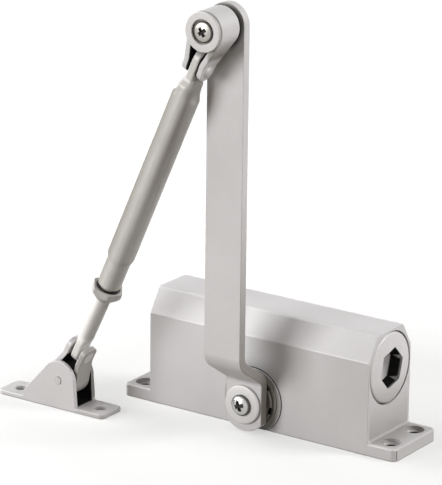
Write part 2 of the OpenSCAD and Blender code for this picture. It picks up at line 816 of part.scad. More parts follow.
module elbow_spacer() {
    color(steel) elbow_ring(upper_front, spacer_t, 2 * pin_head_r, elbow_pin_d + fit);
}
module elbow_bush() { color(brass) elbow_ring(barrel_back, barrel_l, 2 * bush_r, elbow_pin_d + 2 * fit); }

module elbow_washer() {
    color(bright) difference() {
        elbow_ring(washer_back, washer_t, washer_d, elbow_screw_d + 0.3);
        elbow_part(washer_back + washer_t - cup_t, cup_t + 1, cup_d / 2);
    }
}

module elbow_screw() {
    seat = washer_back + washer_t - cup_t;
    color(bright) translate([spindle_x, -seat, elbow_z]) rotate([90, 0, 0]) difference() {
        union() {
            domed_head(head_d / 2, head_t);
            translate([0, 0, -elbow_screw_l]) cylinder(h = elbow_screw_l + 1, d = elbow_screw_d);
        }
        translate([0, 0, key_z]) cylinder(h = head_t + 1, d = key_d, $fn = 6);
    }
}

// Fork on a barrel: barrel axis along Y at the origin, rivet below it and back along Y
module fork(barrel_r, length, drop, end_r, hole_r, back = 0) {
    out = ear_out;
    inner = ear_gap / 2;
    knee = drop - rivet_head_r - knee_gap;
    spread = barrel_r * 0.93;
    spread_z = -barrel_r * 0.35;
    crotch = barrel_r + 0.4;
    difference() {
        union() {
            rotate([90, 0, 0]) translate([0, 0, -length / 2]) cylinder(h = length, r = barrel_r);
            intersection() {
                rotate([90, 0, 0]) translate([0, 0, -length / 2]) linear_extrude(length) polygon([
                    [-spread, spread_z], [spread, spread_z], [out, -knee],
                    [out, -drop - end_r], [-out, -drop - end_r], [-out, -knee]
                ]);
                union() {
                    rotate([90, 0, 90]) translate([0, 0, -barrel_r]) linear_extrude(2 * barrel_r) polygon([
                        [-length / 2, 0], [-length / 2, -barrel_r], [back - end_r, -drop],
                        [back + end_r, -drop], [length / 2, -barrel_r], [length / 2, 0]
                    ]);
                    translate([-barrel_r, back, -drop]) rotate([0, 90, 0])
                        cylinder(h = 2 * barrel_r, r = end_r);
                }
            }
        }
        rotate([90, 0, 0]) translate([0, 0, -length]) linear_extrude(2 * length) polygon([
            [-inner - fork_flare, -crotch], [inner + fork_flare, -crotch], [inner, -knee - 1],
            [inner, -drop - end_r - 1], [-inner, -drop - end_r - 1], [-inner, -knee - 1]
        ]);
        rotate([90, 0, 0]) translate([0, 0, -length]) cylinder(h = 2 * length, r = hole_r);
        translate([-out - 1, back, -drop]) rotate([0, 90, 0])
            cylinder(h = 2 * out + 2, d = rivet_d + 0.04);
    }
}

module rivet() {
    rotate([0, 90, 0]) translate([0, 0, -ear_out]) cylinder(h = 2 * ear_out, d = rivet_d);
    translate([ear_out, 0, 0]) rotate([0, 90, 0]) domed_head(rivet_head_r, rivet_head_t);
    translate([-ear_out, 0, 0]) rotate([0, -90, 0]) domed_head(rivet_head_r, rivet_head_t);
}

module elbow_clevis() {
    hole_r = bush_r + 0.02;
    color(satin) at_elbow() fork(barrel_d / 2, barrel_l, clevis_reach, ear_end_r, hole_r, rivet_back);
}

module elbow_rivet() { color(bright) at_elbow() translate([0, rivet_back, -clevis_reach]) rivet(); }

// Flat end of width w about a rivet, reaching down to z = -l
module flat_end(w, top, l) {
    mid = max(0, top - w / 2);
    translate([-tang_t / 2, 0, 0]) rotate([90, 0, 90]) linear_extrude(tang_t) {
        translate([-w / 2, -l]) square([w, l + mid]);
        intersection() {
            translate([0, top - w / 2]) circle(w / 2);
            translate([-w / 2, mid]) square([w, w]);
        }
    }
}

module shoulder(w, from, to, r) {
    hull() {
        translate([-tang_t / 2, -w / 2, -from]) cube([tang_t, w, 0.5]);
        translate([0, 0, -to - 0.5]) cylinder(h = 0.5, r = r, $fn = 40);
    }
}

module forearm_tube() {
    tube_r = tube_d / 2;
    neck_z = tube_l - neck_l;
    color(bright) at_forearm() difference() {
        union() {
            flat_end(tang_w, tang_end, shoulder_in);
            shoulder(tang_w, shoulder_in, shoulder_out, tube_r);
            translate([0, 0, -neck_z]) cylinder(h = neck_z - shoulder_out, r = tube_r);
            translate([0, 0, -neck_z - neck_taper]) cylinder(h = neck_taper, r1 = neck_d / 2, r2 = tube_r);
            translate([0, 0, -tube_l]) cylinder(h = neck_l - neck_taper, d = neck_d);
        }
        translate([0, 0, -tube_l - 1]) cylinder(h = tube_l + 1 - tang_bore, d = rod_d + 2 * fit);
        translate([0, 0, -neck_z + 2]) cylinder(h = neck_z - 2 - tang_bore, r = tube_r - tube_wall);
        translate([-tube_r, 0, 0]) rotate([0, 90, 0]) cylinder(h = tube_d, d = rivet_d + 2 * fit);
    }
}

module lock_nut() {
    low_d = nut_af * nut_cone_share;
    high_d = nut_af * nut_rim_share;
    color(bright) at_forearm() translate([0, 0, -tube_l - nut_gap - nut_h]) difference() {
        intersection() {
            cylinder(h = nut_h, d = nut_af / cos(30), $fn = 6);
            cylinder(h = nut_h, d1 = low_d, d2 = low_d + 2 * nut_h);
            cylinder(h = nut_h, d1 = high_d + 2 * nut_h, d2 = high_d);
        }
        translate([0, 0, -1]) cylinder(h = nut_h + 2, d = rod_d + 2 * fit);
    }
}

module adjusting_rod() {
    top = rod_inside - tube_l;
    color(bright) union() {
        at_forearm() translate([0, 0, -bend_s]) cylinder(h = bend_s + top, d = rod_d);
        translate(bend_at) sphere(d = rod_d + 0.1);
        difference() {
            at_rod_end() union() {
                translate([0, 0, tongue_out]) cylinder(h = rod_drop - tongue_out, d = rod_d);
                rotate([180, 0, 0]) shoulder(tongue_w, tongue_in, tongue_out, rod_d / 2);
                rotate([180, 0, 0]) flat_end(tongue_w, tongue_end, tongue_in);
            }
            at_rod_end() translate([-tube_d / 2, 0, 0]) rotate([0, 90, 0])
                cylinder(h = tube_d, d = rivet_d + 2 * fit);
        }
    }
}

// The link points up, so its fork is turned over
module foot_link() {
    color(satin) at_link() rotate([180, 0, 0])
        fork(link_barrel_d / 2, link_barrel_l, link_reach, link_end_r, foot_bush_d / 2 + 0.02);
}

module foot_rivet() { color(bright) at_link() translate([0, 0, link_reach]) rivet(); }

module foot_bush() {
    color(brass) at_link() rotate([90, 0, 0]) difference() {
        translate([0, 0, -link_barrel_l / 2]) cylinder(h = link_barrel_l, d = foot_bush_d);
        translate([0, 0, -link_barrel_l]) cylinder(h = 2 * link_barrel_l, d = shoe_pin_d + 2 * fit);
    }
}

// Outline of a shoe ear, with x measured from the pin
module shoe_ear() {
    mid = [ear_top[0], ear_top[1] + shoe_pin_h];
    translate(mid) circle(shoe_top_r);
    polygon([
        [-ear_far, 0], [-ear_far, ear_foot_h],
        mid + shoe_top_r * [-cos(ear_top_from), sin(ear_top_from)],
        mid, mid + [shoe_top_r, 0], [ear_near, 0]
    ]);
}

module shoe() {
    w = shoe_gap + 2 * shoe_t;
    mid = shoe_near - shoe_l / 2;
    color(satin) at_shoe() difference() {
        union() {
            translate([mid, 0, 0]) round_plate(shoe_l, w, shoe_r, shoe_t);
            for (y = [-w / 2, w / 2 - shoe_t])
                translate([0, y + shoe_t, 0]) rotate([90, 0, 0]) linear_extrude(shoe_t) shoe_ear();
        }
        for (x = [shoe_hole_near, shoe_hole_near - shoe_span])
            translate([x, 0, -1]) cylinder(h = shoe_t + 2, d = shoe_hole_d);
        translate([0, w, shoe_pin_h]) rotate([90, 0, 0]) cylinder(h = 2 * w, d = shoe_pin_d + 0.04);
    }
}

module shoe_pin() {
    l = shoe_gap + 2 * shoe_t + 0.8;
    color(steel) translate([pin_at[0], pin_at[1] + l / 2, shoe_pin_h]) rotate([90, 0, 0])
        cylinder(h = l, d = shoe_pin_d);
}

echo(lean = lean, elbow_at = elbow_at, rivet_at = rivet_at);
echo(bend_at = bend_at, foot_at = foot_at, pin_at = pin_at);

housing();
spring_end_plug();
spring_end_seal();
pressure_end_plug();
pressure_end_seal();
front_bearing_nut();
rear_bearing_nut();
front_nut_seal();
rear_nut_seal();
front_bearing();
rear_bearing();
front_shaft_seal();
rear_shaft_seal();
rear_dust_cap();
closing_speed_valve();
latching_speed_valve();
closing_valve_seal();
latching_valve_seal();
pinion();
piston();
check_valve_ball();
check_valve_retainer();
closing_spring();
spring_seat();
main_arm();
spindle_washer();
spindle_screw();
elbow_pin();
elbow_spacer();
elbow_clevis();
elbow_bush();
elbow_washer();
elbow_screw();
elbow_rivet();
forearm_tube();
lock_nut();
adjusting_rod();
foot_link();
foot_bush();
foot_rivet();
shoe();
shoe_pin();
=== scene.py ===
import json
from math import acos, atan2, cos, pi, radians, sin, sqrt, tan

import bmesh
import bpy
import numpy as np
from mathutils import Matrix, Vector


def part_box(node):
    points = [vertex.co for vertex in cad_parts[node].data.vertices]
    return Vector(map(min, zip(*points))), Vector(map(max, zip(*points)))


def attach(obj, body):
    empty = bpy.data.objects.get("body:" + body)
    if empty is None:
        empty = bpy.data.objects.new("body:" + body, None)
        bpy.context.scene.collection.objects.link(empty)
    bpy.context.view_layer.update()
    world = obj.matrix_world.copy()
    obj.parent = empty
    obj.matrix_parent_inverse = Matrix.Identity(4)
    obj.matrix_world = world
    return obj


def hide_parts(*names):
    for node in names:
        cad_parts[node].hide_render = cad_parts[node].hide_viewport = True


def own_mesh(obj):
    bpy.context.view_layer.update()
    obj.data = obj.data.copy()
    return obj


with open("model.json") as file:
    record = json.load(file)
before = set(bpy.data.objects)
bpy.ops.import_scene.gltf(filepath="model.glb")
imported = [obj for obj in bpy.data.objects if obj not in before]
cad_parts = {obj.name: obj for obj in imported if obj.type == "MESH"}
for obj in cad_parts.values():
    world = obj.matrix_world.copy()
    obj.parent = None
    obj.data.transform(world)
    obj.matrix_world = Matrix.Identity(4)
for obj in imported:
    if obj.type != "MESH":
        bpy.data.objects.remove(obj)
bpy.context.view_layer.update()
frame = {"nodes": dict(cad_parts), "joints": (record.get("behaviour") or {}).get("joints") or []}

mm = 0.001  # every size below is in millimetres
tiny = 1e-6
xAxis, yAxis, zAxis = np.eye(3)
joints = {joint["name"]: joint for joint in frame["joints"]}


# The record's places and directions

def unit(v):
    v = np.asarray(v, float)
    return v / np.linalg.norm(v, axis=-1, keepdims=True)


def jointAt(name):
    return np.array(joints[name]["pos_m"]) / mm


def jointAxis(name):
    return unit(joints[name]["axis"])


def nodeBox(name):
    low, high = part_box(name)
    return np.array(low) / mm, np.array(high) / mm


# A local frame: points in it go to the part's frame as origin + x * across + y * along + z * up
class Place:
    def __init__(self, origin, across=xAxis, along=yAxis, up=zAxis):
        self.origin = np.asarray(origin, float)
        self.axes = np.array([unit(across), unit(along), unit(up)])

    def put(self, points):
        return self.origin + np.asarray(points, float) @ self.axes


# On one side of the body, -1 for the arm's: local z points away from it and local y up
def facing(at, side):
    return Place(at, -side * xAxis, zAxis, side * yAxis)


# Local z runs up against a direction, local x along a rivet
def leaning(at, rivet, down):
    up = -unit(down)
    return Place(at, rivet, np.cross(up, rivet), up)


# On the arm's side, at the back of a ring whose front face is its node's
def behindFront(node, thick, at):
    return facing((at[0], nodeBox(node)[0][1] + thick, at[2]), -1)


spindleAt, elbowAt, rivetAt = jointAt("spindle_turn"), jointAt("elbow_swing"), jointAt("forearm_tilt")
footAt, pinAt = jointAt("foot_tilt"), jointAt("shoe_swing")
rivetAxis, footAxis, forearmDown = jointAxis("forearm_tilt"), jointAxis("foot_tilt"), jointAxis("rod_slide")
clevisDown, linkUp = np.cross(yAxis, rivetAxis), np.cross(footAxis, yAxis)
bodyHigh = nodeBox("housing")[1]
halfWide, bodyTip = bodyHigh[1], bodyHigh[0]
armLow, armHigh = nodeBox("main_arm")


# Points of an outline whose corners are turned into arcs of the given radii
def filleted(points, radii, steps=5, closed=True):
    points = np.asarray(points, float)
    count = len(points)
    made = []
    for i in range(count):
        here = points[i]
        if radii[i] <= 0 or (not closed and i in (0, count - 1)):
            made.append(here[None])
            continue
        before, after = unit(points[i - 1] - here), unit(points[(i + 1) % count] - here)
        half = acos(np.clip(before @ after, -1, 1)) / 2
        reach = radii[i] / tan(half)
        centre = here + unit(before + after) * radii[i] / sin(half)
        start, end = here + before * reach - centre, here + after * reach - centre
        way = np.sign(start[0] * end[1] - start[1] * end[0])
        turn = np.linspace(0, pi - 2 * half, steps + 1) * way
        made.append(centre + np.stack([start[0] * np.cos(turn) - start[1] * np.sin(turn),
                                       start[0] * np.sin(turn) + start[1] * np.cos(turn)], axis=1))
    return np.concatenate(made)


# The same closed outline with extra points, so that no step is longer than the given length
def densified(outline, step):
    parts = []
    for a, b in zip(outline, np.roll(outline, -1, axis=0)):
        count = max(1, int(np.ceil(np.linalg.norm(b - a) / step)))
        parts.append(a + (b - a) * np.linspace(0, 1, count, endpoint=False)[:, None])
    return np.concatenate(parts)


# Inward normals of a closed outline that runs anticlockwise
def inwardOf(outline):
    along = unit(np.roll(outline, -1, axis=0) - np.roll(outline, 1, axis=0))
    return np.stack([-along[:, 1], along[:, 0]], axis=1)


# Quarter round from (inset = radius, rise = 0) to (inset = 0, rise = radius)
def quarter(radius, steps):
    turn = np.linspace(0, pi / 2, steps + 1)
    return np.stack([radius * (1 - np.sin(turn)), radius * (1 - np.cos(turn))], axis=1)


# Rows of (radius, height) round a rim, from its outside up to its top
def rimRows(radius, height, edge, steps=4):
    return [(radius - inset, height - rise) for inset, rise in quarter(edge, steps)[::-1]]


def fullTurn(segments):
    return np.linspace(0, 2 * pi, segments, endpoint=False)


# Points round local z at a radius and a height, each of them one number or an array
def ringOf(turn, radius, height):
    return np.stack(np.broadcast_arrays(radius * np.cos(turn), radius * np.sin(turn), height), axis=-1)


# A ring that is round at power 2 and nears a rectangle as the power grows
def boxedRing(turn, height, halfX, halfY, power):
    x, y = (np.sign(side) * np.abs(side) ** (2 / power) * half
            for side, half in ((np.cos(turn), halfX), (np.sin(turn), halfY)))
    return np.stack([x, y, np.full(len(turn), height)], axis=1)


# Flat points with a height put in as the third number
def lifted(flat, height):
    return np.insert(flat, 2, height, axis=1)


# A share from 0 to 1 that starts and ends slowly: 3 times its square less 2 times its cube
def eased(share):
    return share * share * (3 - 2 * share)


# A piece's mesh is gathered from grids of points, and welded at the end
class Shell:
    def __init__(self, rings=None):  # given rings make a skin that is closed at both ends
        self.points, self.quads, self.caps, self.count = [], [], [], 0
        if rings is not None:
            self.grid(rings, capStart=True, capEnd=True)

    # Rows of points, each one closed. The last row meets the first if joined.
    def grid(self, rings, joined=False, capStart=False, capEnd=False):
        rings = np.asarray(rings, float)
        rows, columns = rings.shape[:2]
        index = np.arange(rows * columns).reshape(rows, columns) + self.count
        below, above = (index, np.roll(index, -1, axis=0)) if joined else (index[:-1], index[1:])
        corners = [below, np.roll(below, -1, axis=1), np.roll(above, -1, axis=1), above]
        self.quads.append(np.stack(corners, axis=-1).reshape(-1, 4))
        if capStart:
            self.caps.append(index[0].tolist())
        if capEnd:
            self.caps.append(index[-1][::-1].tolist())
        self.points.append(rings.reshape(-1, 3))
        self.count += rows * columns
        return index

    # Closes a ring that mirrors itself about its first point, with rungs from side to side
    def ladder(self, ring, way=1):
        half = len(ring) // 2
        right, left = ring[:half + 1], np.concatenate([ring[:1], ring[:half - 1:-1]])
        self.quads.append(np.stack([right[:-1], right[1:], left[1:], left[:-1]], axis=-1)[:, ::way])

    def join(self, other):
        self.points += other.points
        self.quads += [quads + self.count for quads in other.quads]
        self.caps += [[i + self.count for i in cap] for cap in other.caps]
        self.count += other.count

    # A finished piece that rides on a body in place of a node. cut: which faces two welded halves share inside.
    def make(self, name, material, body, node, slot, place=None, sharp=32, cut=None):
        points = np.concatenate(self.points)
        if place is not None:
            points = place.put(points)
        mesh = bpy.data.meshes.new(name)
        mesh.from_pydata((points * mm).tolist(), [], np.concatenate(self.quads).tolist() + self.caps)
        work = bmesh.new()
        work.from_mesh(mesh)
        bmesh.ops.remove_doubles(work, verts=work.verts, dist=0.002 * mm)
        if cut is not None:
            inner = [f for f in work.faces if np.all(cut(np.array([v.co for v in f.verts]) / mm))]
            bmesh.ops.delete(work, geom=inner, context="FACES")
        bmesh.ops.dissolve_degenerate(work, edges=work.edges, dist=0.0005 * mm)
        bmesh.ops.recalc_face_normals(work, faces=work.faces)
        work.to_mesh(mesh)
        work.free()
        mesh.polygons.foreach_set("use_smooth", np.ones(len(mesh.polygons), bool))
        mesh.set_sharp_from_angle(angle=radians(sharp))
        piece = bpy.data.objects.new(name, mesh)
        bpy.context.scene.collection.objects.link(piece)
        mesh.materials.append(material)
        piece.modifiers.new("weighted", "WEIGHTED_NORMAL").keep_sharp = True
        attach(piece, body)
        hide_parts(node)
        return piece


# A turned shape: profile rows are (radius, height) about local z, and run round to the first if looped
def turned(profile, segments, looped=False):
    profile = np.asarray(profile, float)
    rings = ringOf(fullTurn(segments), profile[:, :1], profile[:, 1:])
    if not looped:
        return Shell(rings)
    shell = Shell()
    shell.grid(np.concatenate([rings, rings[:1]]))
    return shell


# A plate: its outline carried through the thickness, with both rims rounded
def plate(outline, thickness, edge, mapper, mirrored=False):
    inward = inwardOf(outline)
    rim = quarter(edge, 4)
    heights = np.concatenate([rim[:, 1] - thickness / 2, thickness / 2 - rim[::-1, 1]])
    insets = np.concatenate([rim[:, 0], rim[::-1, 0]])
    flat = outline[None] + inward[None] * insets[:, None, None]
    rings = mapper(flat[..., 0], flat[..., 1], np.repeat(heights[:, None], len(outline), axis=1))
    if not mirrored:
        return Shell(rings)
    shell = Shell()
    index = shell.grid(rings)
    shell.ladder(index[0])
    shell.ladder(index[-1], -1)
    return shell


# A drilled plate: rings from its hole out over the top, down the rounded side and back under to the hole.
# walls: rows of (radius, height) up the hole, foot: the rounding of the lower rim
def drilled(outline, inward, hole, walls, top, edge, foot):
    spokes = unit(outline - hole)
    rings = [lifted(hole + spokes * r, z) for r, z in walls]
    rings += [lifted(outline + inward * inset, top - rise) for inset, rise in quarter(*edge)]
    rings += [lifted(outline + inward * inset, rise) for inset, rise in quarter(*foot)[::-1]]
    return np.array(rings)


# A path in a plane: place and turn angle at any distance along it
class Path:
    def __init__(self, points, radii, steps):
        self.points = filleted(points, radii, steps, closed=False)
        way = np.diff(self.points, axis=0)
        self.along = np.concatenate([[0], np.cumsum(np.linalg.norm(way, axis=1))])
        self.length = self.along[-1]
        self.angles = np.unwrap(np.arctan2(way[:, 1], way[:, 0]))
        self.middles = (self.along[:-1] + self.along[1:]) / 2

    def at(self, s):
        x, z = (np.interp(s, self.along, self.points[:, i]) for i in (0, 1))
        return x, z, np.interp(s, self.middles, self.angles)

    def between(self, start, end):
        return self.along[(self.along > start) & (self.along < end)]


def strapRows(s, width):
    return np.stack(np.broadcast_arrays(s, width), axis=1)


# Outline of a strap in its own flat plane, mirrored about x = 0: rows of (distance, half width), first to last
def strapOutline(rows):
    return np.concatenate([rows[:, ::-1], rows[-2:0:-1, ::-1] * (-1, 1)])


# Shader maths: a wrapped socket takes the usual operators and adds Math nodes
class Value:
    def __init__(self, shade, socket):
        self.shade, self.socket = shade, socket

    def __add__(self, other): return self.shade.math("ADD", self, other)
    def __radd__(self, other): return self.shade.math("ADD", other, self)
    def __sub__(self, other): return self.shade.math("SUBTRACT", self, other)
    def __rsub__(self, other): return self.shade.math("SUBTRACT", other, self)
    def __mul__(self, other): return self.shade.math("MULTIPLY", self, other)
    def __truediv__(self, other): return self.shade.math("DIVIDE", self, other)
    def __abs__(self): return self.shade.math("ABSOLUTE", self, 0.0)


class Shade:
    def __init__(self, owner):  # a new material's name, or the world
        self.material = bpy.data.materials.new(owner) if isinstance(owner, str) else owner
        self.material.use_nodes = True
        self.tree = self.material.node_tree
        self.tree.nodes.clear()
        self.place = self.add("TexCoord", out="Object")

    # Any node, with its settings, its sockets and the output that is wanted
    def add(self, kind, settings=None, sockets=None, out=0):
        node = self.tree.nodes.new("ShaderNode" + kind)
        for key, value in (settings or {}).items():
            setattr(node, key, value)
        for key, value in (sockets or {}).items():
            if isinstance(value, Value):
                self.tree.links.new(value.socket, node.inputs[key])
            else:
                node.inputs[key].default_value = value
        return Value(self, node.outputs[out]) if node.outputs else None

    def math(self, operation, first, second):
        return self.add("Math", {"operation": operation}, {0: first, 1: second})

    def noise(self, scale, detail=3.0, lines=None):  # lines: the direction that the pattern is drawn out along
        at = self.place
        if lines is not None:
            turn = Vector(lines).to_track_quat("Z", "Y").to_euler()
            at = self.add("Mapping", {"vector_type": "TEXTURE"},
                          {"Vector": at, "Rotation": tuple(turn), "Scale": (1.0, 1.0, 12.0)})
        return self.add("TexNoise", sockets={"Vector": at, "Scale": scale, "Detail": detail})

    def mix(self, factor, first, second):
        return self.add("Mix", {"data_type": "RGBA"}, {0: factor, 6: first, 7: second}, out=2)

    def mixShader(self, factor, first, second):
        return self.add("MixShader", sockets={0: factor, 1: first, 2: second})

    def bump(self, strength, distance, height):
        return self.add("Bump", sockets={"Strength": strength, "Distance": distance, "Height": height})

    def along(self, axis, at=(0, 0, 0)):  # distance from a point along a direction, in millimetres
        reach = self.add("VectorMath", {"operation": "DOT_PRODUCT"}, {0: self.place, 1: tuple(axis)}, out=1)
        return reach / mm - float(np.dot(axis, at))

    def far(self, first, second):
        return self.math("SQRT", first * first + second * second, 0.0)

    def radius(self, at, first=xAxis, second=zAxis):  # distance from an axis that stands square to two directions
        return self.far(self.along(first, at), self.along(second, at))

    def rise(self, value, low, high, most=1.0):
        return self.add("MapRange", sockets={0: value, 1: low, 2: high, 3: 0.0, 4: most})

    def fall(self, value, low, high, most=1.0, least=0.0):
        return self.add("MapRange", sockets={0: value, 1: low, 2: high, 3: most, 4: least})

    def largest(self, first, *others):
        for other in others:
            first = self.math("MAXIMUM", first, other)
        return first

    def finish(self, sockets):
        self.add("OutputMaterial", sockets={"Surface": self.add("BsdfPrincipled", sockets=sockets)})
        return self.material


def rgb(r, g, b):
    return (r, g, b, 1.0)


def grey(tone):
    return rgb(tone, tone, tone)


def toned(look, tone, pale, **others):
    return {**look, "tone": rgb(*tone), "pale": rgb(*pale), **others}


# Materials. A coat takes two optional masks of the dark colours below: the first turns it near black, the second
# brown. Most of these masks are painted shade; each one below says what it paints.
darkColours = {"deep": rgb(0.006, 0.006, 0.007), "nearBlack": rgb(0.02, 0.019, 0.017), "rough": 0.3,
             "brown": rgb(0.17, 0.155, 0.13), "tan": rgb(0.22, 0.2, 0.17)}
satinLook = {"tone": rgb(0.58, 0.569, 0.575), "pale": rgb(0.615, 0.604, 0.611), "metal": 0.07, "rough": 0.42,
             "grain": 2600, "cloud": 45, "bump": 0.16, "bumpDeep": 0.00006}
nickelLook = {"rough": 0.42, "drawn": forearmDown, "lines": 900, "bump": 0.1, "bumpDeep": 0.00004, "metal": 0.1}
washerLook = {**nickelLook, "drawn": None, "lines": 1400, "metal": 0.15}
paleLook = toned(washerLook, (0.52, 0.51, 0.505), (0.57, 0.56, 0.558))


# Satin silver coat: fine sand-like grain, faint clouding in tone and gloss
def satinCoat(name, look, blackMask=None, brownMask=None):
    shade = Shade(name)
    grain, speckle = shade.noise(look["grain"], 2.0), shade.noise(look["grain"] * 0.4, 4.0)
    tone = shade.rise(shade.noise(look["cloud"]) * 0.6 + speckle * 0.4, 0.35, 0.65)
    rough = look["rough"] - 0.05 + speckle * 0.1
    colour, metal = shade.mix(tone, look["tone"], look["pale"]), look["metal"]
    if brownMask:
        colour = shade.mix(brownMask(shade), colour, shade.mix(speckle, darkColours["brown"], darkColours["tan"]))
    if blackMask:
        share = blackMask(shade)
        colour = shade.mix(share, colour, shade.mix(speckle, darkColours["deep"], darkColours["nearBlack"]))
        metal = metal + share * (1 - metal)
        rough = rough + share * darkColours["rough"]
    return shade.finish({"Base Color": colour, "Metallic": metal, "Roughness": rough,
                         "Normal": shade.bump(look["bump"], look["bumpDeep"], grain)})


# Plated or unplated metal with fine lines drawn along a direction
def drawnMetal(name, look, blackMask=None, brownMask=None):
    shade = Shade(name)
    streak = shade.noise(look["lines"], lines=look["drawn"])
    tone = shade.rise(streak * 0.6 + shade.noise(70) * 0.4, 0.35, 0.65)
    colour = shade.mix(tone, look["tone"], look["pale"])
    for mask, under in ((brownMask, "brown"), (blackMask, "nearBlack")):
        if mask:
            colour = shade.mix(mask(shade), colour, darkColours[under])
    return shade.finish({"Base Color": colour, "Metallic": look["metal"],
                         "Roughness": look["rough"] - 0.06 + streak * 0.12,
                         "Normal": shade.bump(look["bump"], look["bumpDeep"], streak)})


# Bright plated screw, with painted shade dark in its cross recess and a painted dark reflection and shade in a thin
# ring at the foot of its head
def screwPlate(name, at, screw, look):  # arms and ring: shares of the recess's width and of the head's radius
    shade = Shade(name)
    turn, recess, head = radians(screw["turn"]), screw["recess"], screw["headR"]
    u, v = (abs(shade.along(way, at)) for way in ((cos(turn), 0, sin(turn)), (-sin(turn), 0, cos(turn))))
    arms = [shade.fall(thin, recess * 0.15, recess * 0.22) * shade.fall(far, recess * 0.42, recess * 0.52)
            for thin, far in ((u, v), (v, u))]
    # painted shade in the recess's arms, painted shade and dark reflection in the ring round the head's foot
    dark = shade.largest(*arms, shade.rise(shade.radius(at), head * 0.8, head * 0.9) * 0.9)
    scratch = shade.noise(900)
    colour = shade.mix(dark, shade.mix(scratch, look["tone"], look["pale"]), rgb(0.03, 0.028, 0.026))
    return shade.finish({"Base Color": colour, "Metallic": 1.0 - dark * 0.6,
                         "Roughness": look["rough"] + dark * 0.4 + scratch * 0.05,
                         "Normal": shade.bump(0.04, 0.00004, scratch)})


def sealRubber(name):
    shade = Shade(name)
    grain = shade.noise(1500, 2.0)
    return shade.finish({"Base Color": shade.mix(grain, rgb(0.012, 0.012, 0.013), grey(0.03)),
                         "Roughness": 0.55 + grain * 0.1, "Normal": shade.bump(0.2, 0.00005, grain)})


# Masks give a share over the part's own coordinates. In them, the two numbers after a distance are where the
# share starts and ends, in millimetres, and a third is the most that it reaches.

# Painted shade between two ears that stand either side of a point along an axis, over a stretch of another
# direction; before the knee the ears spread apart by the given slope
def betweenEars(shade, at, axis, half, direction, start, end=100.0, knee=0.0, slope=0.0):
    down = shade.along(direction, at)
    spreadOut = shade.math("MAXIMUM", knee - down, 0.0) * slope
    inside = shade.fall(abs(shade.along(axis, at)) - spreadOut, half + 0.1, half + 0.35)
    return inside * shade.rise(down, start, start + 1.5) * shade.fall(down, end - 1.0, end)


# Growing along a direction from a point, on one side of it
def fading(shade, at, direction, start, end, most, side=xAxis, sideFrom=0.0, sideTo=2.0):
    return (shade.rise(shade.along(direction, at), start, end, most)
            * shade.rise(shade.along(side, at), sideFrom, sideTo))


# Painted shade in a crescent near the rim of a flush pin, on the side that a direction points to
def crescent(shade, at, first, second, r, toward):
    rim = shade.fall(abs(shade.radius(at, first, second) - r), 0.1, 0.35)
    return rim * shade.rise(shade.along(toward, at), 0.2, 1.2)


# Painted shade in a thin line along the base, where the part stands on its mount
def baseLine(shade):
    return shade.fall(shade.along(zAxis), 0.25, 0.8, 0.7)


# Body casting: one closed skin round the cylinder axis, recess, end faces and long faces
casting = {"chamferHalf": 12.0, "shoulderZ": 49.3, "edge": 0.45, "shoulderR": 1.6, "topR": 2.2, "baseR": 0.5,
           "boreZ": 41.7, "recessR": 19.3, "recessDepth": 10.0, "floorR": 15.0, "mouthR": 0.25, "halfLength": 67.5,
           "step": 1.6, "cornerReach": 21.0}
flange = {"thick": 6.7, "corner": 3.0, "edge": 1.0, "footEdge": 0.3, "holeX": 76.0, "holeY": 11.25, "holeR": 3.0,
          "headR": 5.4, "headDepth": 1.8, "coneDepth": 1.6, "coneR": 4.7, "mouth": 0.3, "inside": 60.0, "bead": 1.3,
          "beadIn": 0.4, "beadShort": 0.5, "hiddenX": 66.5, "hiddenIn": 0.1, "step": 1.2, "deepZ": 4.2,
          "deepR": 3.6, "sideFrom": 66.0, "lineTurn": 20.0, "lineLow": 0.6, "lineHigh": 6.2}
pad = {"r": 17.3, "out": 0.8, "in": 1.0, "foot": 0.3, "edge": 0.35}
valveBore = {"half": 6.0, "step": 1.0, "r": 3.53, "mouth": 0.25, "deep": 3.0}


# Painted shade: a black line round the foot of the raised pad
def padFoot(shade):
    out = abs(shade.along(yAxis)) - halfWide
    return (shade.fall(abs(shade.radius(spindleAt) - pad["r"] - 0.1), 0.15, 0.5)
            * shade.fall(abs(out - 0.1), 0.3, 0.5, 0.85))


# Painted shade: brown on the front of the raised pad
def padFace(shade):
    out = abs(shade.along(yAxis)) - halfWide
    return shade.rise(out, 0.4, 0.7) * shade.fall(shade.radius(spindleAt), pad["r"] - 0.6, pad["r"] - 0.1, 0.6)


# Painted shade: black deep in the flange's screw holes
def holeDepths(shade):
    u, v = abs(shade.along(xAxis)) - flange["holeX"], abs(shade.along(yAxis)) - flange["holeY"]
    low = shade.fall(shade.along(zAxis, (0, 0, flange["deepZ"])), -0.3, 0.0)
    return low * shade.fall(shade.far(u, v), flange["deepR"], flange["deepR"] + 0.7)


# Painted dark reflection: a black upright line on the flange's rounded corner at the right of the arm's side
def cornerLine(shade):
    turn, r, low, high = radians(flange["lineTurn"]), flange["corner"], flange["lineLow"], flange["lineHigh"]
    at, half = (bodyTip - r, r - halfWide, (low + high) / 2), (high - low) / 2
    return (shade.fall(abs(shade.along((sin(turn), cos(turn), 0), at)), 0.1, 0.4)
            * shade.rise(shade.along((cos(turn), -sin(turn), 0), at), r - 0.6, r - 0.3)
            * shade.fall(abs(shade.along(zAxis, at)), half - 0.5, half, 0.85))


# Painted shade: brown in the corner where an end of the casting stands on its flange, fading out over both faces
def endCorner(shade):
    out = abs(shade.along(xAxis)) - casting["halfLength"]
    far = shade.far(out, shade.along(zAxis, (0, 0, flange["thick"])))
    inner = shade.fall(abs(shade.along(yAxis)), halfWide - 2.5, halfWide - 0.3)
    return inner * shade.rise(out, -0.3, -0.1) * shade.fall(far, 0.5, casting["cornerReach"], 0.55)


castSatin = satinCoat("castSatin", satinLook,
                      lambda shade: shade.largest(padFoot(shade), holeDepths(shade), cornerLine(shade)),
                      lambda shade: shade.largest(endCorner(shade), padFace(shade), baseLine(shade)))


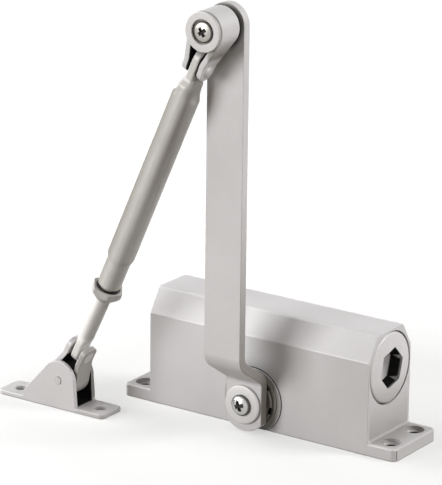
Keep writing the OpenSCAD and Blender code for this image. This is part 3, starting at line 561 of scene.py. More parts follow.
def makeCasting():
    c = casting
    outline = filleted(
        [(-halfWide, 0), (halfWide, 0), (halfWide, c["shoulderZ"]), (c["chamferHalf"], bodyHigh[2]),
         (-c["chamferHalf"], bodyHigh[2]), (-halfWide, c["shoulderZ"])],
        [c["baseR"], c["baseR"], c["shoulderR"], c["topR"], c["topR"], c["shoulderR"]], 6)
    outline = densified(outline, c["step"])
    inward = inwardOf(outline)
    centre = np.array([0, c["boreZ"]])
    spokes = unit(outline - centre)
    end = c["halfLength"]
    rows = [(c["floorR"], end - c["recessDepth"]), (c["recessR"], end - c["recessDepth"])]
    rows += rimRows(c["recessR"] + c["mouthR"], end, c["mouthR"], 3)
    rings = [np.insert(centre + spokes * r, 0, x, axis=1) for r, x in rows]
    rings += [np.insert(outline + inward * inset, 0, end - rise, axis=1) for inset, rise in quarter(c["edge"], 4)]
    half = np.array(rings)
    heights = np.sort(outline[outline[:, 0] > halfWide - tiny, 1])
    valves = [valveWindow(node, heights) for node in ("closing_speed_valve", "latching_speed_valve")]
    middle = [np.insert(outline, 0, x, axis=1) for columns, rows, at in valves for x in columns[::-1]]
    skin = np.concatenate([half, middle, half[::-1] * (-1, 1, 1)])
    shell = Shell(skin)
    corners = skin.reshape(-1, 3)[shell.quads[0]]
    for columns, rows, at in valves:
        inside = ((corners[..., 1] > halfWide - 1e-4) & (abs(corners[..., 0] - at[0]) < valveBore["half"] + 1e-4)
                  & (corners[..., 2] > rows[0] - 1e-4) & (corners[..., 2] < rows[-1] + 1e-4))
        keep = ~np.all(inside, axis=1)
        shell.quads[0], corners = shell.quads[0][keep], corners[keep]
        shell.grid(valveMouth(columns, rows, at), capEnd=True)
    for side in (1, -1):
        shell.join(makeFlange(side))
        shell.join(makeBead(side))
        shell.join(makePad(side))
    shell.make("bodyCasting", castSatin, "closer_body", "housing", "satin_alloy",
               cut=lambda p: (abs(p[:, 1]) < 1e-4) & (abs(p[:, 0]) > flange["inside"] + 1)
               & (p[:, 2] < flange["thick"] + 0.1))


# Mouth of a valve's bore in the rear face: a window is left in the skin, and rings lead from its rim into the bore
def valveWindow(node, heights):
    low, high = nodeBox(node)
    at, half, step = (low + high) / 2, valveBore["half"], valveBore["step"]
    return at[0] + np.arange(-half, half + step / 2, step), heights[abs(heights - at[2]) < half], at


def valveMouth(columns, rows, at):
    v = valveBore
    inner = rows[1:-1]
    rim = np.concatenate([strapRows(columns, rows[0]), strapRows(columns[-1], inner),
                          strapRows(columns[::-1], rows[-1]), strapRows(columns[0], inner[::-1])])
    centre = at[[0, 2]]
    spokes = unit(rim - centre)
    levels = [(rim, halfWide)]
    levels += [(centre + spokes * r, y) for r, y in rimRows(v["r"] + v["mouth"], halfWide, v["mouth"], 3)]
    levels.append((centre + spokes * v["r"], halfWide - v["deep"]))
    return [np.insert(flat, 1, y, axis=1) for flat, y in levels]


# Flange: two halves, each drilled for one screw
def makeFlange(side):
    f = flange
    shell = Shell()
    corner = filleted([(bodyTip, 0), (bodyTip, halfWide), (f["inside"], halfWide), (f["inside"], 0)],
                      [0, f["corner"], 0, 0], 8)
    corner = densified(corner, f["step"])
    atTip = corner[:, 0] > bodyTip - tiny
    atSide = (corner[:, 1] > halfWide - tiny) & (corner[:, 0] > f["sideFrom"])
    arc = (corner[:, 1] > halfWide - f["corner"] - tiny) & (corner[:, 0] > bodyTip - f["corner"] - tiny)
    inward = np.zeros_like(corner)
    inward[atTip, 0] = -1.0
    inward[atSide & ~atTip, 1] = -1.0
    inward[arc] = unit((bodyTip - f["corner"], halfWide - f["corner"]) - corner[arc] + 1e-12)
    hidden = corner[:, 0] < f["hiddenX"]
    corner[hidden, 1] = np.minimum(corner[hidden, 1], halfWide - f["hiddenIn"])
    seatZ = f["thick"] - f["headDepth"]
    walls = [(f["holeR"], 0.0), (f["holeR"], seatZ - f["coneDepth"]), (f["coneR"], seatZ), (f["headR"], seatZ)]
    walls += rimRows(f["headR"] + f["mouth"], f["thick"], f["mouth"], 3)
    rings = drilled(corner, inward, (f["holeX"], f["holeY"]), walls, f["thick"], (f["edge"], 5), (f["footEdge"], 2))
    for half in (-1, 1):
        shell.grid(rings * (side, half, 1), joined=True)
    return shell


# Concave bead where the end face meets the flange
def makeBead(side):
    f = flange
    x, z, r, under = casting["halfLength"], f["thick"], f["bead"], f["beadIn"]
    turn = np.linspace(0, pi / 2, 7)
    section = np.concatenate([
        [(x - under, z - under), (x + r, z - under)],
        np.stack([x + r - r * np.sin(turn), z + r - r * np.cos(turn)], axis=1),
        [(x - under, z + r)]])
    reach = halfWide - f["beadShort"]
    return Shell([np.insert(section * (side, 1), 1, y, axis=1) for y in (-reach, reach)])


# Raised pad round a bearing nut: a disc about the spindle, cut straight along the base
def makePad(side):
    outline = ringOf(fullTurn(180), pad["r"], 0.0)[:, :2] + spindleAt[[0, 2]]
    outline[:, 1] = np.maximum(outline[:, 1], pad["foot"])
    thick = pad["out"] + pad["in"]
    middle = halfWide + pad["out"] - thick / 2
    return plate(outline, thick, pad["edge"], lambda x, z, h: np.stack([x, side * (middle + h), z], axis=-1))


makeCasting()
print("casting made")


# End plugs: domed head with a rounded rim and a hex socket, whose walls are black below the mouth as painted shade
plug = {"headR": 18.7, "back": 9.95, "backEdge": 0.6, "dome": 1.6, "rim": 1.4, "hexR": 19 / sqrt(3), "mouth": 1.0,
        "wall": 8.4, "depth": 9.2, "floorDrop": 0.25, "floorOut": 0.93, "floorIn": 0.1,
        "turn": 14.0, "blackR": 11.1}
plugAt = (0, 0, casting["boreZ"])


# Painted shade: black on the socket's walls, between its mouth and its floor
def socketDepth(shade):
    deep = casting["halfLength"] + plug["dome"] - abs(shade.along(xAxis))
    walls = shade.rise(deep, 1.4, 2.6) * shade.fall(deep, 7.8, 8.3)
    return walls * shade.fall(shade.radius(plugAt, yAxis), plug["blackR"], plug["blackR"] + 0.4)


# A paler copy of the satin coat, painted light on the ends, and browner towards the bottom as painted shade
plugSatin = satinCoat("plugSatin", toned(satinLook, (0.65, 0.638, 0.643), (0.69, 0.678, 0.684)),
                      socketDepth, lambda shade: fading(shade, plugAt, -zAxis, 4.0, 18.0, 0.45, -zAxis, 0.0, 4.0))


def makePlug(name, node, side):
    p = plug
    turn = fullTurn(120)
    ball = (p["headR"] ** 2 + p["dome"] ** 2) / (2 * p["dome"])
    hexR = p["hexR"] * cos(pi / 6) / np.cos((turn % (pi / 3)) - pi / 6)

    def onDome(r):
        return p["dome"] - ball + np.sqrt(ball ** 2 - r ** 2)

    rows = [(p["headR"] - p["backEdge"], -p["back"]), (p["headR"], p["backEdge"] - p["back"])]
    rows += rimRows(p["headR"], onDome(p["headR"] - p["rim"]), p["rim"], 6)
    rows += [(r, onDome(r)) for r in np.linspace(p["headR"] - p["rim"] - 1, p["hexR"] + p["mouth"] * 1.6, 6)]
    rows += [(hexR + inset, onDome(hexR + p["mouth"]) - p["mouth"] + rise)
             for inset, rise in quarter(p["mouth"], 4)[::-1]]
    floor = p["dome"] - p["wall"]
    rows += [(hexR, floor), (hexR * p["floorOut"], floor - p["floorDrop"]),
             (hexR * p["floorIn"], p["dome"] - p["depth"])]
    way = radians(p["turn"])
    place = Place((side * casting["halfLength"], 0, casting["boreZ"]), (0, cos(way), sin(way)),
                  (0, -sin(way) * side, cos(way) * side), (side, 0, 0))
    rings = [ringOf(turn, r, z) for r, z in rows]
    Shell(rings).make(name, plugSatin, "closer_body", node, "satin_silver", place, sharp=30)


makePlug("springEndPlug", "spring_end_plug", 1)
makePlug("pressureEndPlug", "pressure_end_plug", -1)
print("plugs made")


# Closing spring: round wire carried along a helix about the cylinder axis. The record scales its solid towards the
# seat as the piston slides.
spring = {"wireR": 1.75, "turns": 8, "steps": 48, "sides": 16}
groundSteel = drawnMetal("groundSteel", toned(nickelLook, (0.45, 0.44, 0.42), (0.55, 0.54, 0.52),
                                              rough=0.32, drawn=xAxis, metal=1.0))


def makeSpring():
    wireR = spring["wireR"]
    low, high = nodeBox("closing_spring")
    run = np.linspace(0, 1, spring["turns"] * spring["steps"] + 1)[:, None]
    turn = 2 * pi * spring["turns"] * run
    side = fullTurn(spring["sides"])
    reach = high[1] - wireR + wireR * np.cos(side)
    x = low[0] + wireR + (high[0] - low[0] - 2 * wireR) * run + wireR * np.sin(side)
    rings = np.stack([x, reach * np.sin(turn), casting["boreZ"] + reach * np.cos(turn)], axis=-1)
    piece = Shell(rings).make("closingSpring", groundSteel, "closer_body", "closing_spring", "machined_steel")
    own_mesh(piece)


makeSpring()
print("spring made")


# Bearing nuts: a flange on the body and a notched ring in front of it, with painted shade brown-black in every
# corner
bearingNut = {"flangeR": 15.0, "flangeT": 1.6, "ringR": 13.0, "ringT": 1.4, "notches": 6, "notchW": 4.0,
              "notchIn": 1.6, "boreR": 10.1, "boreDeep": 1.2, "boreEdge": 0.3, "edge": 0.35, "turn": 15.0}


# Painted shade in the ring's notches, in its corners and round its bore
def nutCorners(shade):
    b = bearingNut
    depth, reach = abs(shade.along(yAxis)) - halfWide, shade.radius(spindleAt)
    top, ringR, rimR, boreR = b["flangeT"] + b["ringT"], b["ringR"], b["flangeR"], b["boreR"]
    slots = shade.fall(depth, top - 0.25, top - 0.1) * shade.fall(reach, ringR - 0.35, ringR - 0.15)
    corner = shade.fall(abs(depth - b["flangeT"]), 0.12, 0.4) * shade.fall(reach, ringR + 0.2, ringR + 0.9)
    foot = shade.fall(depth, 0.15, 0.55) * shade.rise(reach, rimR - 0.2, rimR - 0.1)
    return shade.largest(slots, corner * 0.8, foot * 0.8, shade.fall(reach, boreR - 0.1, boreR + 0.15))


# A much darker copy of the satin coat: painted shade for the arm's shadow on the nut
nutSatin = satinCoat("nutSatin", toned(satinLook, (0.17, 0.158, 0.135), (0.23, 0.217, 0.19), metal=0.3), nutCorners)


def makeBearingNut(name, node, side):
    b = bearingNut
    turn = fullTurn(360)
    pitch = 2 * pi / b["notches"]
    local = (turn + radians(b["turn"]) + pitch / 2) % pitch - pitch / 2
    across = np.abs(b["ringR"] * np.sin(local))
    ring = b["ringR"] - b["notchIn"] * np.clip((b["notchW"] / 2 + 0.15 - across) / 0.3, 0, 1)
    top, boreR, bevel = b["flangeT"] + b["ringT"], b["boreR"], b["boreEdge"]
    rows = [(b["flangeR"] - bevel, 0.0), *rimRows(b["flangeR"], b["flangeT"], b["edge"]), (ring, b["flangeT"]),
            *rimRows(ring, top, b["edge"]), (boreR + bevel, top), (boreR, top - bevel),
            (boreR, top - b["boreDeep"])]
    shell = Shell([ringOf(turn, r, z) for r, z in rows])
    seat = facing(spindleAt + side * halfWide * yAxis, side)
    shell.make(name, nutSatin, "closer_body", node, "satin_silver", seat, sharp=30)


makeBearingNut("frontBearingNut", "front_bearing_nut", -1)
makeBearingNut("rearBearingNut", "rear_bearing_nut", 1)
print("bearing nuts made")


# Main arm: a flat strap with a round foot, a stepped bend and a round head
arm = {"width": 22.0, "thick": 5.0, "edge": 0.45, "footR": 14.5, "lowR": 6.0, "upR": 7.5, "stepLow": 14.35,
       "stepHigh": 27.85, "step": 20.5, "reach": 204.47, "ringShift": -1.5, "ringFrom": 10.0, "ringTo": 13.5,
       "brownTop": 135.0, "brownLow": 20.0, "forkShift": (-3.0, 0, -14.0), "forkWay": (0.8, 0, -0.6)}


# 1 on the arm's front face above its bend
def armFront(shade):
    return shade.fall(shade.along(yAxis, (0, armLow[1], 0)), 0.1, 0.5)


# Painted shadow: black on the front face in a ring round the elbow, where the fork turns close to it
def pivotRing(shade):
    at = elbowAt + (arm["ringShift"], 0, arm["ringShift"])
    return shade.fall(shade.radius(at), arm["ringFrom"], arm["ringTo"], 0.9) * armFront(shade)


# Painted shade: brown on the cropped edges, growing towards the foot
def croppedEdges(shade):
    half = arm["width"] / 2
    edge = shade.rise(abs(shade.along(xAxis, spindleAt)), half - 0.5, half - 0.1)
    return edge * shade.fall(shade.along(zAxis), arm["brownLow"], arm["brownTop"], 0.95)


# Painted shadow of the fork: brown below the elbow, fading away from the line where the fork's ear passes over the
# arm
def besideFork(shade):
    beside = shade.fall(shade.along(arm["forkWay"], elbowAt + arm["forkShift"]), 0.0, 7.0, 0.75)
    return beside * shade.fall(shade.along(-zAxis, elbowAt), 32.0, 48.0) * armFront(shade)


armSatin = satinCoat("armSatin", satinLook, pivotRing,
                     lambda shade: shade.largest(croppedEdges(shade), besideFork(shade)))


def makeArm():
    a = arm
    half, thick = a["width"] / 2, a["thick"]
    lowMid = -armHigh[1] + thick / 2
    highMid = lowMid + a["step"]
    path = Path([(lowMid, -a["footR"]), (lowMid, a["stepLow"]), (highMid, a["stepHigh"]),
                 (highMid, a["reach"] + half)], [0, a["lowR"], a["upR"], 0], 14)
    turn = np.linspace(0, np.arcsin(half / a["footR"]), 16)
    foot = strapRows(a["footR"] * (1 - np.cos(turn)), a["footR"] * np.sin(turn))
    headAt = path.length - half
    turn = np.linspace(0, pi / 2, 24)
    head = strapRows(headAt + half * np.sin(turn), half * np.cos(turn))
    head[-1, 1] = 0
    rows = np.concatenate([foot, strapRows(path.between(foot[-1, 0] + 0.5, headAt - 0.5), half), head])

    def bend(x, s, h):
        out, up, angle = path.at(s)
        return np.stack([x, -(out + h * np.sin(angle)), up - h * np.cos(angle)], axis=-1)

    shell = plate(strapOutline(rows), thick, a["edge"], bend, mirrored=True)
    shell.make("mainArm", armSatin, "spindle_and_arm", "main_arm", "satin_silver", Place(spindleAt * (1, 0, 1)))


makeArm()
print("arm made")


# Screws: a domed head with a cross recess, as a height over a polar grid
def makeScrew(name, node, material, screw, seat):
    headR, recess, turnBy = screw["headR"], screw["recess"], radians(screw["turn"])
    shankR, shank, under = 2.5, 3.0, 0.15
    # the cross: half an arm's width, how far its walls lean, and by what share it gets shallower outwards
    armHalf, sideSlope, endSlope, shallower, least = recess * 0.17, 0.22, 0.5, 0.45, 0.3
    turn = fullTurn(144)
    r = np.linspace(headR, 0.05, 30)[:, None]
    x, y = r * np.cos(turn - turnBy), r * np.sin(turn - turnBy)
    domeUp = screw["head"] - screw["rim"]
    ball = (headR ** 2 + domeUp ** 2) / (2 * domeUp)
    dome = screw["head"] - ball + np.sqrt(ball ** 2 - r ** 2) + 0 * turn
    depth = np.zeros_like(dome)
    for u, v in ((abs(x), abs(y)), (abs(y), abs(x))):
        inside = np.clip((armHalf - v) / sideSlope, 0, 1) * np.clip((recess / 2 - u) / endSlope, 0, 1)
        outwards = (1 - shallower * u / (recess / 2)).clip(least)
        depth = np.maximum(depth, inside * screw["recessDepth"] * outwards)
    rows = [(shankR, -shank), (shankR, 0), (headR - under, 0), (headR, under)]
    rings = [ringOf(turn, q, z) for q, z in rows]
    shell = Shell(np.concatenate([rings, ringOf(turn, r, dome - depth)]))
    shell.make(name, material, "spindle_and_arm", node, "bright_chrome", seat)


# Painted shade in a washer's foot, where it meets what it lies on: depth runs along Y behind its front face
def washerFoot(node, start, end):
    return lambda shade: shade.rise(shade.along(yAxis, (0, nodeBox(node)[0][1], 0)), start, end) * 0.75


spindleFix = {"washerR": 10.3, "washerT": 2.0, "washerEdge": 0.7, "foot": 0.35, "holeR": 3.2, "dish": 0.35,
              "headR": 5.7, "head": 3.0, "rim": 0.6, "recess": 5.8, "recessDepth": 1.9, "turn": 20.0}
# The two washers share one finish: the spindle washer's paler tone and the elbow washer's darker one are painted
# light and shade
spindleWasherSatin = drawnMetal(
    "spindleWasherSatin", toned(washerLook, (0.64, 0.63, 0.625), (0.69, 0.68, 0.675)),
    blackMask=washerFoot("spindle_washer", 1.1, 1.7))
spindlePlate = screwPlate("spindlePlate", spindleAt, spindleFix,
                          {"tone": rgb(0.46, 0.455, 0.445), "pale": rgb(0.54, 0.535, 0.525), "rough": 0.2})


# Spindle washer, dished towards its hole, and the screw on top of it
def makeSpindleFix():
    s = spindleFix
    outer, inner, thick, foot = s["washerR"], s["holeR"], s["washerT"], s["foot"]
    rows = [(inner, 0.0), (outer - foot, 0.0), (outer, foot), *rimRows(outer, thick - s["dish"], s["washerEdge"])]
    rows += [(outer + (inner - outer) * k, thick - s["dish"] * (1 - k) ** 2) for k in (0.3, 0.5, 0.7, 0.85)]
    rows += [(inner + 0.2, thick), (inner, thick - 0.2)]
    front = behindFront("spindle_washer", thick, spindleAt)
    turned(rows, 120, True).make("spindleWasher", spindleWasherSatin, "spindle_and_arm", "spindle_washer",
                                 "satin_nickel", front)
    makeScrew("spindleScrew", "spindle_screw", spindlePlate, s, facing(front.origin - thick * yAxis, -1))


makeSpindleFix()


# Elbow: a fork over the pin's barrel, with a cupped washer and its screw in front
elbow = {"barrelR": 10.3, "barrelL": 15.2, "strapT": 3.1, "reach": 22.5, "endR": 5.4, "gap": 6.6, "knee": 8.5,
         "back": 1.0, "edge": 0.55, "kneeR": 9.0, "square": 0.0, "slope": 0.22, "blackFrom": 6.5, "blackTo": 100.0}
elbowFix = {"washerR": 10.3, "washerT": 2.0, "foot": 0.3, "holeR": 2.7, "cupR": 6.3, "cupT": 1.2, "cupEdge": 0.35,
            "headR": 5.6, "head": 1.9, "rim": 0.5, "recess": 5.2, "recessDepth": 1.5, "turn": 35.0}


# Painted shade: black inside a fork
def insideFork(f, at, axis, direction):
    return lambda shade: betweenEars(shade, at, axis, f["gap"] / 2, direction, f["blackFrom"], f["blackTo"],
                                     f["barrelR"] + f["knee"], f["slope"])


# Painted shade: black inside the fork, and brown growing down the fork below the barrel on its +x side
clevisSatin = satinCoat("clevisSatin", satinLook, insideFork(elbow, elbowAt, rivetAxis, clevisDown),
                        lambda shade: fading(shade, elbowAt, clevisDown, 2.0, 13.0, 1.0))
elbowWasherSatin = drawnMetal(
    "elbowWasherSatin", toned(washerLook, (0.48, 0.47, 0.468), (0.53, 0.52, 0.518)),
    brownMask=washerFoot("elbow_washer", 0.5, 1.0))
elbowPlate = screwPlate("elbowPlate", elbowAt, elbowFix,
                        {"tone": rgb(0.3, 0.29, 0.265), "pale": rgb(0.38, 0.37, 0.345), "rough": 0.36})
paleSatin = drawnMetal("paleSatin", paleLook)


# One strap wrapped over a barrel, whose two ears come together below it and narrow to their round ends
def fork(f):
    barrelR, half, t = f["barrelR"], f["barrelL"] / 2, f["strapT"]
    outX = f["gap"] / 2 + t
    kneeZ = -(barrelR + f["knee"])
    touch = atan2(kneeZ, outX) + acos(barrelR / np.hypot(outX, kneeZ))  # where the ear leaves the barrel
    arc = np.linspace(touch, pi - touch, 40)
    over = (barrelR - t / 2) * np.stack([np.cos(arc), np.sin(arc)], axis=1)
    endZ = -(f["reach"] + f["endR"])
    earX = outX - t / 2
    points = np.concatenate([[(earX, endZ), (earX, kneeZ)], over, [(-earX, kneeZ), (-earX, endZ)]])
    radii = np.zeros(len(points))
    radii[[1, -2]] = f["kneeR"]
    path = Path(points, radii, 8)
    if f["square"]:
        tip = filleted([(0, 0), (0, f["endR"]), (f["endR"], f["endR"])], [0, f["square"], 0], 8, closed=False)
    else:
        turn = np.linspace(0, pi / 2, 18)
        tip = strapRows(f["endR"] * (1 - np.cos(turn)), f["endR"] * np.sin(turn))
    middles = path.between(tip[-1, 0] + 0.2, path.length - tip[-1, 0] - 0.2)
    ear = np.linspace(tip[-1, 0] + 0.6, middles[0] - 0.6, 5)
    middles = np.concatenate([ear, middles, path.length - ear[::-1]])

    def narrowing(s):  # 0 on the barrel, 1 from the rivet to the end
        share = np.clip((-path.at(s)[1] - barrelR * 0.8) / (f["reach"] - barrelR * 0.8), 0, 1)
        return eased(share) * 0.5 + share * 0.5

    width = half + (f["endR"] - half) * narrowing(middles)
    rows = np.concatenate([tip, strapRows(middles, width), strapRows(path.length - tip[::-1, 0], tip[::-1, 1])])

    def wrap(x, s, h):
        px, pz, angle = path.at(s)
        return np.stack([px + h * np.sin(angle), x + f["back"] * narrowing(s), pz - h * np.cos(angle)], axis=-1)

    shell = plate(strapOutline(rows), t, f["edge"], wrap, mirrored=True)
    core = turned([(barrelR - 0.5, -half + 0.3), (barrelR - 0.5, half - 0.3)], 64)
    core.points = [p[:, [0, 2, 1]] for p in core.points]
    shell.join(core)
    return shell


def makeElbow():
    e = elbowFix
    fork(elbow).make("elbowClevis", clevisSatin, "elbow", "elbow_clevis", "satin_silver",
                     Place(elbowAt, rivetAxis, yAxis, -clevisDown))
    outer, thick, cup, foot = e["washerR"], e["washerT"], e["washerT"] - e["cupT"], e["foot"]
    rows = [(e["holeR"], 0.0), (outer - foot, 0.0), (outer, foot), *rimRows(outer, thick, elbow["edge"])]
    rows += [(e["cupR"] + e["cupEdge"], thick), (e["cupR"], thick - e["cupEdge"]),
             (e["cupR"], cup), (e["holeR"], cup)]
    front = behindFront("elbow_washer", thick, elbowAt)
    turned(rows, 120, True).make("elbowWasher", elbowWasherSatin, "spindle_and_arm", "elbow_washer", "satin_nickel",
                                 front)
    makeScrew("elbowScrew", "elbow_screw", elbowPlate, e, facing(front.origin - cup * yAxis, -1))


makeElbow()
print("elbow made")


# Rivets through a fork: a shank with a domed head at each end
rivet = {"r": 3.4, "head": 1.4, "flush": 0.15, "shank": 2.5}


def makeRivet(name, node, material, at, axis, body, f, rise):
    r, out = rivet["r"], f["gap"] / 2 + f["strapT"]
    ball = (r ** 2 + rise ** 2) / (2 * rise)
    heads = [(r * sin(u), out + rise - ball + sqrt(ball ** 2 - (r * sin(u)) ** 2))
             for u in np.linspace(0.02, pi / 2, 12)]
    side = np.array(heads + [(r - 0.1, out - 0.05), (rivet["shank"], out - 0.1)])
    place = Place(at, np.cross(yAxis, axis), yAxis, axis)
    turned(np.concatenate([side, side[::-1] * (1, -1)]), 64).make(name, material, body, node, "satin_nickel", place)


makeRivet("elbowRivet", "elbow_rivet", paleSatin, rivetAt, rivetAxis, "elbow", elbow, rivet["head"])


# Forearm tube: round rings that turn into a flat tang at the top and a drawn-in neck at the bottom
tube = {"r": 7.25, "neckR": 6.2, "length": 141.0, "neck": 21.0, "taper": 5.0, "tangT": 4.8, "tangW": 10.0,
        "tangEnd": 9.5, "flatTo": 7.0, "roundFrom": 12.0, "crushTo": 19.0, "pinch": 1.4, "rodR": 4.0,
        "rodEdge": 0.3, "rodDeep": 8.0, "endRound": 0.9, "short": 0.4, "bandSide": (0.830, 0.423, -0.363)}
lockNut = {"across": 15.0, "height": 7.2, "gap": 1.1, "lowR": 4.9, "coneTo": 8.7, "cone": 4.4, "topR": 8.35,
           "topSlope": 1.1, "boreR": 4.0, "bevel": 0.4, "turn": 9.0, "blackR": 6.4}
rod = {"r": 3.95, "inside": 52.0, "bevel": 0.4, "tongueT": 4.8, "tongueW": 9.6, "tongueEnd": 5.0, "flatTo": 6.5,
       "roundFrom": 12.0, "bendHalf": 2.5}
nutTop = rivetAt + forearmDown * (tube["length"] + lockNut["gap"])


# Painted shade and dark reflection: two brown bands down the tube, along one side of it and past the middle of the
# other, fainter lower down
def tubeBands(shade):
    side, down = shade.along(tube["bandSide"], rivetAt), shade.along(forearmDown, rivetAt)
    middle = shade.rise(side, -0.8, 1.6, 0.8) - shade.rise(side, 2.6, 5.0, 0.55)
    low = shade.fall(down, 40.0, 100.0, least=0.6)
    return (shade.fall(side, -7.0, -3.0) + middle * low) * shade.rise(down, 2.0, 14.0)


# Painted shade: black on the top face of the lock nut near the rod
def nutHollow(shade):
    low = shade.fall(abs(shade.along(forearmDown, nutTop)), 0.2, 0.5)
    reach = shade.radius(nutTop, rivetAxis, np.cross(forearmDown, rivetAxis))
    return low * shade.fall(reach, lockNut["blackR"], lockNut["blackR"] + 0.4)


# Painted shade: brown along one side of the rod, from just above its foot
def rodFoot(shade):
    return fading(shade, footAt, -forearmDown, 8.0, 12.0, 0.4, unit(np.cross(forearmDown, yAxis)), 0.5, 3.0)


nickel = drawnMetal("satinNickel", toned(nickelLook, (0.50, 0.488, 0.468), (0.58, 0.568, 0.548)),
                    brownMask=tubeBands)
rodNickel = drawnMetal("rodNickel", toned(nickelLook, (0.68, 0.665, 0.645), (0.76, 0.745, 0.725)),
                       brownMask=rodFoot)
nutNickel = drawnMetal("nutNickel", toned(nickelLook, (0.40, 0.39, 0.372), (0.49, 0.479, 0.461)),
                       blackMask=nutHollow)


def makeTube():
    t = tube
    turn = fullTurn(96)
    rings = []

    def addRing(down, halfX, halfY, power=2):
        rings.append(boxedRing(turn, -down, halfX, halfY, power))

    flatX, flatY = t["tangT"] / 2, t["tangW"] / 2
    tipZ = t["tangEnd"] - flatY
    for k in np.linspace(0.1, 1, 10):  # round end of the tang, seen from its side
        addRing(-tipZ - flatY * cos(k * pi / 2), flatX * min(1, 0.8 + 0.4 * k), flatY * sin(k * pi / 2), 5)
    for down in np.linspace(1 - tipZ, t["flatTo"], 6):
        addRing(down, flatX, flatY, 6)
    for down in np.concatenate([np.linspace(t["flatTo"], t["roundFrom"], 12)[1:],
                                np.linspace(t["roundFrom"], t["crushTo"], 9)[1:]]):
        wide = eased(np.clip((down - t["flatTo"]) / (t["roundFrom"] - t["flatTo"]), 0, 1))
        thick = ((down - t["flatTo"]) / (t["crushTo"] - t["flatTo"])) ** 0.6
        halfX, halfY = flatX + (t["r"] - flatX) * thick, flatY + (t["r"] - flatY) * wide
        addRing(down, halfX, halfY, 2 + 4 * (1 - thick) ** 2)
        ring = rings[-1]
        pinch = t["pinch"] * np.sin(pi * thick ** 2) * (1 - (ring[:, 1] / halfY) ** 2)  # hollow left by the press
        ring[:, 0] -= np.sign(ring[:, 0]) * pinch * np.minimum(1, np.abs(ring[:, 0]) / flatX)
    neckFrom, end = t["length"] - t["neck"], t["length"] - t["short"]
    for down in np.linspace(t["crushTo"] + 2, neckFrom - 1, 6):
        addRing(down, t["r"], t["r"])
    for k in np.linspace(0, 1, 8):
        r = t["r"] + (t["neckR"] - t["r"]) * eased(k)
        addRing(neckFrom + t["taper"] * k, r, r)
    rows = rimRows(t["neckR"], end, t["endRound"], 5)
    rows += [(t["rodR"] + t["rodEdge"], end), (t["rodR"], end - t["rodEdge"]), (t["rodR"], end - t["rodDeep"])]
    for r, down in rows:
        addRing(down, r, r)
    Shell(rings).make("forearmTube", nickel, "forearm", "forearm_tube", "satin_nickel",
                      leaning(rivetAt, rivetAxis, forearmDown))


# Lock nut: a hexagon cut by a steep cone below and a slight one above, whose smaller radius wins all round
def makeLockNut():
    n = lockNut
    turn = fullTurn(144)
    high, boreR, bevel = n["height"], n["boreR"], n["bevel"]
    hexR = n["across"] / 2 / np.cos(((turn - radians(n["turn"])) % (pi / 3)) - pi / 6)
    heights = np.concatenate([np.linspace(0, n["cone"], 12), np.linspace(high - 0.5, high, 4)])
    rows = [(np.minimum(hexR, min(n["lowR"] + (n["coneTo"] - n["lowR"]) * z / n["cone"],
                                  n["topR"] + (high - z) * n["topSlope"])), z) for z in heights]
    rows += [(boreR + bevel, high), (boreR, high - bevel), (boreR, bevel), (boreR + bevel, 0.0)]
    shell = Shell()
    shell.grid([ringOf(turn, r, z) for r, z in rows], joined=True)
    shell.make("lockNut", nutNickel, "lock_nut", "lock_nut", "satin_nickel",
               leaning(nutTop + forearmDown * high, rivetAxis, forearmDown), sharp=24)


# Where the rod bends: the forearm's line and the foot's line cross there
def bendOf():
    side = forearmDown[1]
    lowDown = unit(side * yAxis - linkUp * sqrt(1 - side ** 2))
    far = np.linalg.lstsq(np.stack([forearmDown, lowDown], axis=1), footAt - rivetAt, rcond=None)[0][0]
    return rivetAt + forearmDown * far, lowDown


# Adjusting rod: straight in the tube, a slight bend below the nut, and a flat tongue at the foot
def makeRod():
    r, bevel, bendHalf, roundFrom = rod["r"], rod["bevel"], rod["bendHalf"], rod["roundFrom"]
    turn = fullTurn(64)
    top = rivetAt + forearmDown * (tube["length"] - rod["inside"])
    bendAt, lowDown = bendOf()
    straight, low = np.linalg.norm(bendAt - top), np.linalg.norm(footAt - bendAt)
    flatX, flatY = rod["tongueT"] / 2, rod["tongueW"] / 2
    upper = [(-bevel, r - bevel, r - bevel, 2)]
    upper += [(-down, r, r, 2) for down in (2 * bevel, straight / 2, straight - bendHalf)]
    lower = [(low - bendHalf, r, r, 2), (roundFrom + 3, r, r, 2)]
    for k in np.linspace(0, 1, 10):
        lower.append((roundFrom + (rod["flatTo"] - roundFrom) * k, r + (flatX - r) * eased(k),
                      r + (flatY - r) * eased(k), 2 + 3 * eased(k)))
    for k in np.linspace(1, 0.05, 12):
        lower.append((-rod["tongueEnd"] * cos(k * pi / 2), flatX * min(1, 0.7 + 0.6 * k),
                      flatY * max(sin(k * pi / 2), 0.05), 5))
    upFrame, lowFrame = leaning(top, rivetAxis, forearmDown), leaning(footAt, footAxis, lowDown)
    rings = [place.put(boxedRing(turn, *row))
             for place, rows in ((upFrame, upper), (lowFrame, lower)) for row in rows]
    Shell(rings).make("adjustingRod", rodNickel, "rod", "adjusting_rod", "satin_nickel", sharp=40)


makeTube()
makeLockNut()
makeRod()
print("forearm made")


# Foot link, shoe and its pin
link = {"barrelR": 9.6, "barrelL": 12.2, "strapT": 3.1, "reach": 17.2, "endR": 5.4, "gap": 6.6, "knee": 3.9,
        "edge": 0.5, "kneeR": 7.0, "square": 3.4, "back": 0.0, "slope": 0.26, "blackFrom": 6.5, "blackTo": 15.0}
shoe = {"length": 68.5, "near": 29.0, "width": 18.0, "thick": 2.5, "corner": 3.0, "span": 51.5, "holeNear": 21.3,
        "holeR": 3.5, "far": 23.0, "earNear": 11.5, "earFoot": 5.2, "earLow": 0.15, "earTurn": 136, "topR": 10.0,
        "topX": 0.3, "topZ": 16.4, "kneeR": 1.5, "edge": 0.5, "sideIn": 0.08, "step": 1.2, "blackFrom": -11.5,
        "blackTo": 22.0}
pin = {"r": 2.5, "proud": 0.06, "bevel": 0.05}


